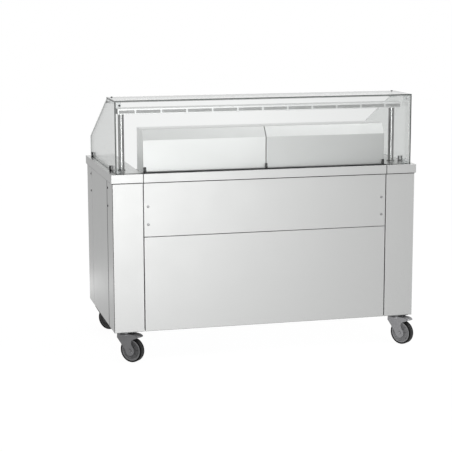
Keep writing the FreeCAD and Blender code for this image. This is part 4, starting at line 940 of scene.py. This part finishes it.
SHADOW_STRIP_Y = (-0.4033, PANE_FRONT)
SHADOW_STRIP_Z = (COUNTER_TOP, 0.9683)
# Painted shade: a black strip for the dark gap at the front pane's foot.
trim("pane_foot_painted_shadow", [(SHADOW_STRIP_X, SHADOW_STRIP_Y, SHADOW_STRIP_Z)], black_rubber, "black_rubber", 0.0004)
CLIP_X = (-0.6250, 0.0, 0.6265)
CLIP_Y = (-0.3934, -0.3872)
CLIP_HALF = [(0.0068, 0.963), (0.0068, 0.971), (0.0052, 0.992)]
# Painted shade: black feet on the clips, for the dark corners of the gap under the hoods.
feet = bmesh.new()
for x in CLIP_X:
    outline = [(x + half, z) for half, z in CLIP_HALF]
    outline += [(x - half, z) for half, z in reversed(CLIP_HALF)]
    pressed_plate(feet, outline, *CLIP_Y, Matrix.Identity(4))
round_edges(faces_out(feet), sharp_edges(feet, TRIM_EDGE), 0.0008, 2)
new_piece("clip_feet_painted_shade", feet, [black_rubber], "black_rubber")


# Posts: two polished stainless tubes on the counters, which carry the lamp rail.
# They stand in rings on the counters, behind the ends of the front pane.
eased("posts", tube_steel, 0.0008, 0.0004)


# Lamp rail: a folded satin channel across the screen with a row of long slots in its front.
# A grey strip behind the slots is painted shade, the grey of the shaded inside seen through them,
# and grey strips on the front of the rail's ends paint the row of slots on to them; the rest of the
# inside is painted dark, as painted shade.
INSIDE_Y = (-0.3245, -0.2395)
INSIDE_TOP = 1.2775
SLOT_BACK = ((-0.722, 0.722), (-0.3240, -0.3228), (1.2530, 1.2735))
END_PAINTED_SLOTS = ((0.7002, 0.7405), (-0.3266, -0.3256), (1.2555, 1.2705))
rail_steel = brushed_steel("rail_steel", (0.76,) * 3, rough=0.55, edge=0.9)
# Painted shade inside the channel.
rail_inside = enamelled("rail_inside", (0.10,) * 3, 0.6)
slot_grey = moulded("slot_grey", (0.47,) * 3, 0.5)
rail = eased("light_rail", rail_steel, 0.0015)
repaint(rail, rail_inside, lambda middle, normal:
        INSIDE_Y[0] < middle.y < INSIDE_Y[1] and middle.z < INSIDE_TOP)
# Painted shade: grey strips for the shaded inside seen through the slots, and painted slots at the
# rail's ends.
trim("rail_slot_back", [SLOT_BACK] + pair(*END_PAINTED_SLOTS), slot_grey, "grey_plastic", 0.0003)


# Lamps: three opal strips under the rail, which light the bay, with grey caps on their ends.
# They are clipped to the inside of the channel.
LAMP_X = (-0.448, 0.0, 0.448)
CAP_X = (0.2078, 0.2158)
CAP_Y = (-0.3078, -0.2722)
CAP_Z = (1.2632, 1.2768)


def opal(name):
    finish = Finish(name)
    haze = finish.noise(300.0)
    return finish.principled(
        base_color=finish.shade((0.78, 0.78, 0.76), (0.86, 0.86, 0.84), haze),
        roughness=0.3 + haze * 0.2)


eased("lamp_strips", opal("lamp_opal"), 0.002, 0.0006)
caps = [((x + inner, x + outer), ys, zs)
        for x in LAMP_X for (inner, outer), ys, zs in pair(CAP_X, CAP_Y, CAP_Z)]
trim("lamp_caps", caps, lit_and_shaded_nylon["front_left"], "grey_plastic", 0.0012, 2)


# Glass screen: four panes of 8 mm toughened glass with ground and polished edges.
# Their edges carry painted light and shade: dark on the front and top panes and in bands at the
# ends of the front pane's face, pale on the left pane, faint on the right pane and along the top
# pane's lower arris. The front pane is painted darker towards its right end, as painted shade.
DIM_FROM = -0.15
DIM_RATE = 1.1
HEAD_ON = 0.04


def pane_glass(name, tone, gloss, painted_shade_tone=None):
    """Clear glass with a faint haze; with a painted shade tone it is painted darker towards the
    right end.
    """
    finish = Finish(name)
    haze = finish.noise(6.0, 3.0)
    clear = finish.add("ShaderNodeBsdfTransparent", {"Color": (*tone, 1.0)})
    if painted_shade_tone:
        dim = finish.add("ShaderNodeBsdfTransparent", {"Color": (*painted_shade_tone, 1.0)})
        along = finish.add("ShaderNodeSeparateXYZ", {0: finish.place}, "X")
        to_right = ((along - DIM_FROM) * DIM_RATE).most(0.0).least(1.0)
        clear = finish.add("ShaderNodeMixShader", {0: to_right, 1: clear, 2: dim})
    shine = finish.add("ShaderNodeBsdfGlossy",
                       {"Color": (*gloss, 1.0), "Roughness": 0.01 + haze * 0.02})
    slant = finish.add("ShaderNodeLayerWeight", {"Blend": 0.5}, output="Facing")
    mirror = HEAD_ON + (1.0 - HEAD_ON) * slant ** 5
    return finish.surface(finish.add("ShaderNodeMixShader", {0: mirror, 1: clear, 2: shine}))


# Edge finishes whose tone and cover are painted light and shade on a pane's edges.
def edge_light_and_shade(name, tone, cover):
    finish = Finish(name)
    ripple = finish.noise(60.0, 2.0)
    return finish.principled(base_color=finish.mottled(tone, 0.8, 1.2, ripple), roughness=0.3,
                             specular_ior_level=0.25, alpha=cover)


PANE_HALF = 0.775
PANE_TOP = 1.326
PANE_ARRIS = 0.0008
BAND_FROM = 0.769
FAINT_UNDER = 1.320
DARK_EDGE = (0.022, 0.028, 0.026)
SIDE_GLOSS = (0.62, 0.63, 0.625)
faint_edge = edge_light_and_shade("faint_pane_edge", (0.60, 0.62, 0.61), 0.35)
panes = {
    "front_glass": (pane_glass("front_pane_glass", (0.955, 0.96, 0.957), (0.64, 0.65, 0.645),
                               (0.885, 0.89, 0.887)),
                    edge_light_and_shade("dark_pane_edge", DARK_EDGE, 0.95)),
    "top_glass": (pane_glass("top_pane_glass", (0.965, 0.97, 0.967), (0.96, 0.965, 0.962)),
                  edge_light_and_shade("top_pane_edge", (0.055, 0.064, 0.06), 0.9)),
    "left_glass": (pane_glass("left_pane_glass", (0.945, 0.95, 0.947), SIDE_GLOSS),
                   edge_light_and_shade("pale_pane_edge", (0.42, 0.44, 0.43), 0.95)),
    "right_glass": (pane_glass("right_pane_glass", (0.935, 0.94, 0.937), SIDE_GLOSS), faint_edge)}
pane_pieces = {}
for node, glass_and_edge in panes.items():
    shape = merged_copy(node)
    round_edges(shape, sharp_edges(shape, 0.02), PANE_ARRIS, 1)
    faces_out(shape)
    spans = [max(v.co[i] for v in shape.verts) - min(v.co[i] for v in shape.verts)
             for i in range(3)]
    thin = spans.index(min(spans))
    for face in shape.faces:
        face.material_index = 0 if abs(face.normal[thin]) > SQUARE_ON else 1
    pane_pieces[node] = new_piece(node + "_pane", shape, glass_and_edge, "glass", node)
front_pane, top_pane = pane_pieces["front_glass"], pane_pieces["top_glass"]
# Painted shade in bands at the ends of the front pane's face, the right one darker.
for side, name, cover in ((-1, "edge_seen_through_face", 0.5),
                          (1, "right_edge_seen_through_face", 0.92)):
    scored(front_pane, (side * BAND_FROM, 0, 0), RIGHT)
    repaint(front_pane, edge_light_and_shade(name, DARK_EDGE, cover),
            lambda middle, normal: normal.y < -SQUARE_ON and side * middle.x > BAND_FROM)
scored(top_pane, (0, 0, FAINT_UNDER), UP)
repaint(top_pane, faint_edge,
        lambda middle, normal: normal.y < FRONT_FACING and middle.z < FAINT_UNDER)


# Corner connectors: clear acrylic blocks inside the corners of the screen.
# The panes are screwed to them from outside.
def clear_block(name):
    finish = Finish(name)
    cloud = finish.noise(90.0, 3.0)
    clear = finish.add("ShaderNodeBsdfTransparent", {"Color": (0.93, 0.94, 0.94, 1.0)})
    milk = finish.add("ShaderNodeBsdfPrincipled", {
        "Base Color": finish.shade((0.55, 0.57, 0.57), (0.72, 0.74, 0.74), cloud),
        "Roughness": 0.12})
    return finish.surface(finish.add("ShaderNodeMixShader",
                                     {0: 0.04 + cloud * 0.08, 1: clear, 2: milk}))


eased("glass_connectors", clear_block("acrylic"), 0.001, 0.0008)


# Screws: stainless button heads with a hexagon socket, in the panels, the sides and the panes.
# The heads are domed and sit flat on the sheet or the glass. Their tones carry painted light: the
# side screws and the other pane screws are painted dark as painted shade, the front pane's right
# ones pale as painted light.
CROWN_FLAT = 0.52
CROWN_SWELL = 0.9
KEY_FLOOR = 0.4
screws = Pattern("button_screws", "Head Radius", "Head Height", "Key Radius", "Shank Radius",
                 "Shank Length")
head_radius, head_height, shank_length = map(
    screws.given, ("Head Radius", "Head Height", "Shank Length"))
crown = screws.taper(24, head_radius, head_radius * CROWN_FLAT, head_height, 0.0, 4)
where = screws.add("GeometryNodeInputPosition")
at = {axis: screws.add("ShaderNodeSeparateXYZ", {0: where}, axis) for axis in "XYZ"}
rise = at["Z"] / head_height
swell = CROWN_SWELL * rise * (1.0 - rise)
bulge = screws.add("ShaderNodeCombineXYZ", {axis: at[axis] * swell for axis in "XY"})
dome = screws.add("GeometryNodeSetPosition", {"Geometry": crown, "Offset": bulge})
key = screws.prism(6, screws.given("Key Radius"), head_height, head_height * KEY_FLOOR)
drilled = screws.add("GeometryNodeMeshBoolean", {"Mesh 1": dome, "Mesh 2": key},
                     operation="DIFFERENCE")
stem = screws.prism(12, screws.given("Shank Radius"), shank_length, 0.0 - shank_length)
screws.spread(drilled, stem)

GLASS_SCREW = 0.016
PANEL_SCREW = 0.026
PANEL_SEAT_X = 0.6155
PANEL_SEAT_Z = (0.706, 0.797)
SIDE_SEAT_Y = (-0.274, 0.274)
SIDE_SEAT_Z = (0.788, 0.880)
PANE_SEAT_X = 0.751
PANE_SEAT_Z = (0.9845, 1.302)
REAR_SEAT_Y = -0.176
panel_seats, side_seats, glass_seats, front_seats = [], [], [], {}
for side in (-1, 1):
    panel_seats += [facing((side * PANEL_SEAT_X, -BODY_Y, z), FRONT, RIGHT)
                    for z in PANEL_SEAT_Z]
    side_seats += [facing((side * BODY_X, y, z), (side, 0, 0), REAR)
                   for y in SIDE_SEAT_Y for z in SIDE_SEAT_Z]
    front_seats[side] = [facing((side * PANE_SEAT_X, PANE_FRONT, z), FRONT, RIGHT)
                         for z in PANE_SEAT_Z]
    glass_seats += [
        facing((side * PANE_HALF, REAR_SEAT_Y, PANE_SEAT_Z[1]), (side, 0, 0), REAR),
        facing((side * PANE_SEAT_X, REAR_SEAT_Y, PANE_TOP), UP, RIGHT)]
# Lit and shaded copies of the screw metal: dark ones as painted shade, pale ones as painted light.
dull_screw = plated("dull_screw", (0.26, 0.26, 0.263), 0.34)
dark_screw = plated("dark_screw", (0.05, 0.05, 0.052), 0.4)
pale_screw = plated("pale_screw", (0.48, 0.48, 0.483), 0.34)
screw_sets = (
    ("panel_screws", panel_seats, PANEL_SCREW, 0.0066, dull_screw),
    ("side_screws", side_seats, PANEL_SCREW, 0.0060, dark_screw),
    ("glass_screws", glass_seats + front_seats[-1], GLASS_SCREW, 0.0055, dark_screw),
    ("right_glass_screws", front_seats[1], GLASS_SCREW, 0.0055, pale_screw))
for name, seats, length, radius, metal in screw_sets:
    shape = screws.made(seats, metal, head_radius=radius, head_height=0.003, key_radius=0.0023,
                        shank_radius=0.003, shank_length=length)
    new_piece(name, shape, [metal], "fastener", "fasteners")


# Studio: a white paper floor and backdrop, a large soft lamp and a low strip in front, one lamp
# overhead and a weak one by the floor on the left.
# The camera stands where the photograph was taken from, to the left and a little above.
def seen_by_lens(graph):
    kinds = [graph.add("ShaderNodeLightPath", output=name)
             for name in ("Is Camera Ray", "Is Glossy Ray", "Is Transmission Ray")]
    return kinds[0].most(kinds[1]).most(kinds[2])


AMBIENT = 0.5
WHITE = (1.0, 1.0, 1.0, 1.0)
world = bpy.data.worlds.new("studio")
world.use_nodes = True
sky = Graph(world.node_tree)
backdrop = sky.add("ShaderNodeBackground", {
    "Color": WHITE, "Strength": AMBIENT + (1.0 - AMBIENT) * seen_by_lens(sky)})
sky.add("ShaderNodeOutputWorld", {"Surface": backdrop})
scene.world = world

PAPER_GLOW = 1.08
PAPER_SHARE = 0.88
PAPER_REACH = 14.0
paper = Finish("studio_paper")
fibre = paper.noise(40.0)
matt = paper.add("ShaderNodeBsdfDiffuse", {"Color": paper.shade((0.86,) * 3, (0.90,) * 3, fibre)})
glow = paper.add("ShaderNodeEmission", {"Color": WHITE, "Strength": PAPER_GLOW})
paper_white = paper.surface(paper.add("ShaderNodeMixShader", {
    0: seen_by_lens(paper) * PAPER_SHARE, 1: matt, 2: glow}))
ground = bmesh.new()
bmesh.ops.create_grid(ground, x_segments=8, y_segments=8, size=PAPER_REACH)
floor_mesh = bpy.data.meshes.new("studio_floor")
ground.to_mesh(floor_mesh)
ground.free()
floor_mesh.materials.append(paper_white)
studio_floor = placed("studio_floor", floor_mesh)


def softbox(name, place, target, width, height, watts):
    lamp = bpy.data.lights.new(name, "AREA")
    lamp.shape = "RECTANGLE"
    lamp.size = width
    lamp.size_y = height
    lamp.energy = watts
    holder = placed(name, lamp)
    holder.location = place
    aim = Vector(target) - Vector(place)
    holder.rotation_euler = aim.to_track_quat("-Z", "Y").to_euler()
    holder.visible_camera = False


softbox("front_softbox", (-0.75, -6.4, 0.7), (-0.2, 0.0, 0.7), 1.8, 1.3, 130.0)
softbox("low_softbox", (0.95, -6.4, 0.07), (0.2, 0.0, 0.5), 1.0, 0.1, 15.0)
softbox("overhead_softbox", (1.8, -1.3, 3.3), (0.4, -0.3, 1.1), 2.2, 1.6, 31.0)
softbox("floor_softbox", (-1.15, 1.2, 0.05), (-0.8, -0.1, 0.1), 0.6, 0.15, 0.4)

VIEWPOINT = (-1.90392, -7.12373, 1.88811)
YAW, PITCH, ROLL = 0.2462526, 0.1726054, -0.0029258
FOCAL_LENGTH = 110.664
forward = Vector((sin(YAW) * cos(PITCH), cos(YAW) * cos(PITCH), -sin(PITCH)))
level = Vector((cos(YAW), -sin(YAW), 0.0))
upright = level.cross(forward)
lens_right = cos(ROLL) * level + sin(ROLL) * upright
lens_up = -sin(ROLL) * level + cos(ROLL) * upright
camera = bpy.data.cameras.new("photo_camera")
camera.sensor_width = 36.0
camera.lens = FOCAL_LENGTH
camera.clip_end = 100.0
viewer = placed("photo_camera", camera)
viewer.matrix_world = Matrix.Translation(VIEWPOINT) @ Matrix(
    (lens_right, lens_up, -forward)).transposed().to_4x4()
scene.camera = viewer
scene.view_settings.view_transform = "Standard"
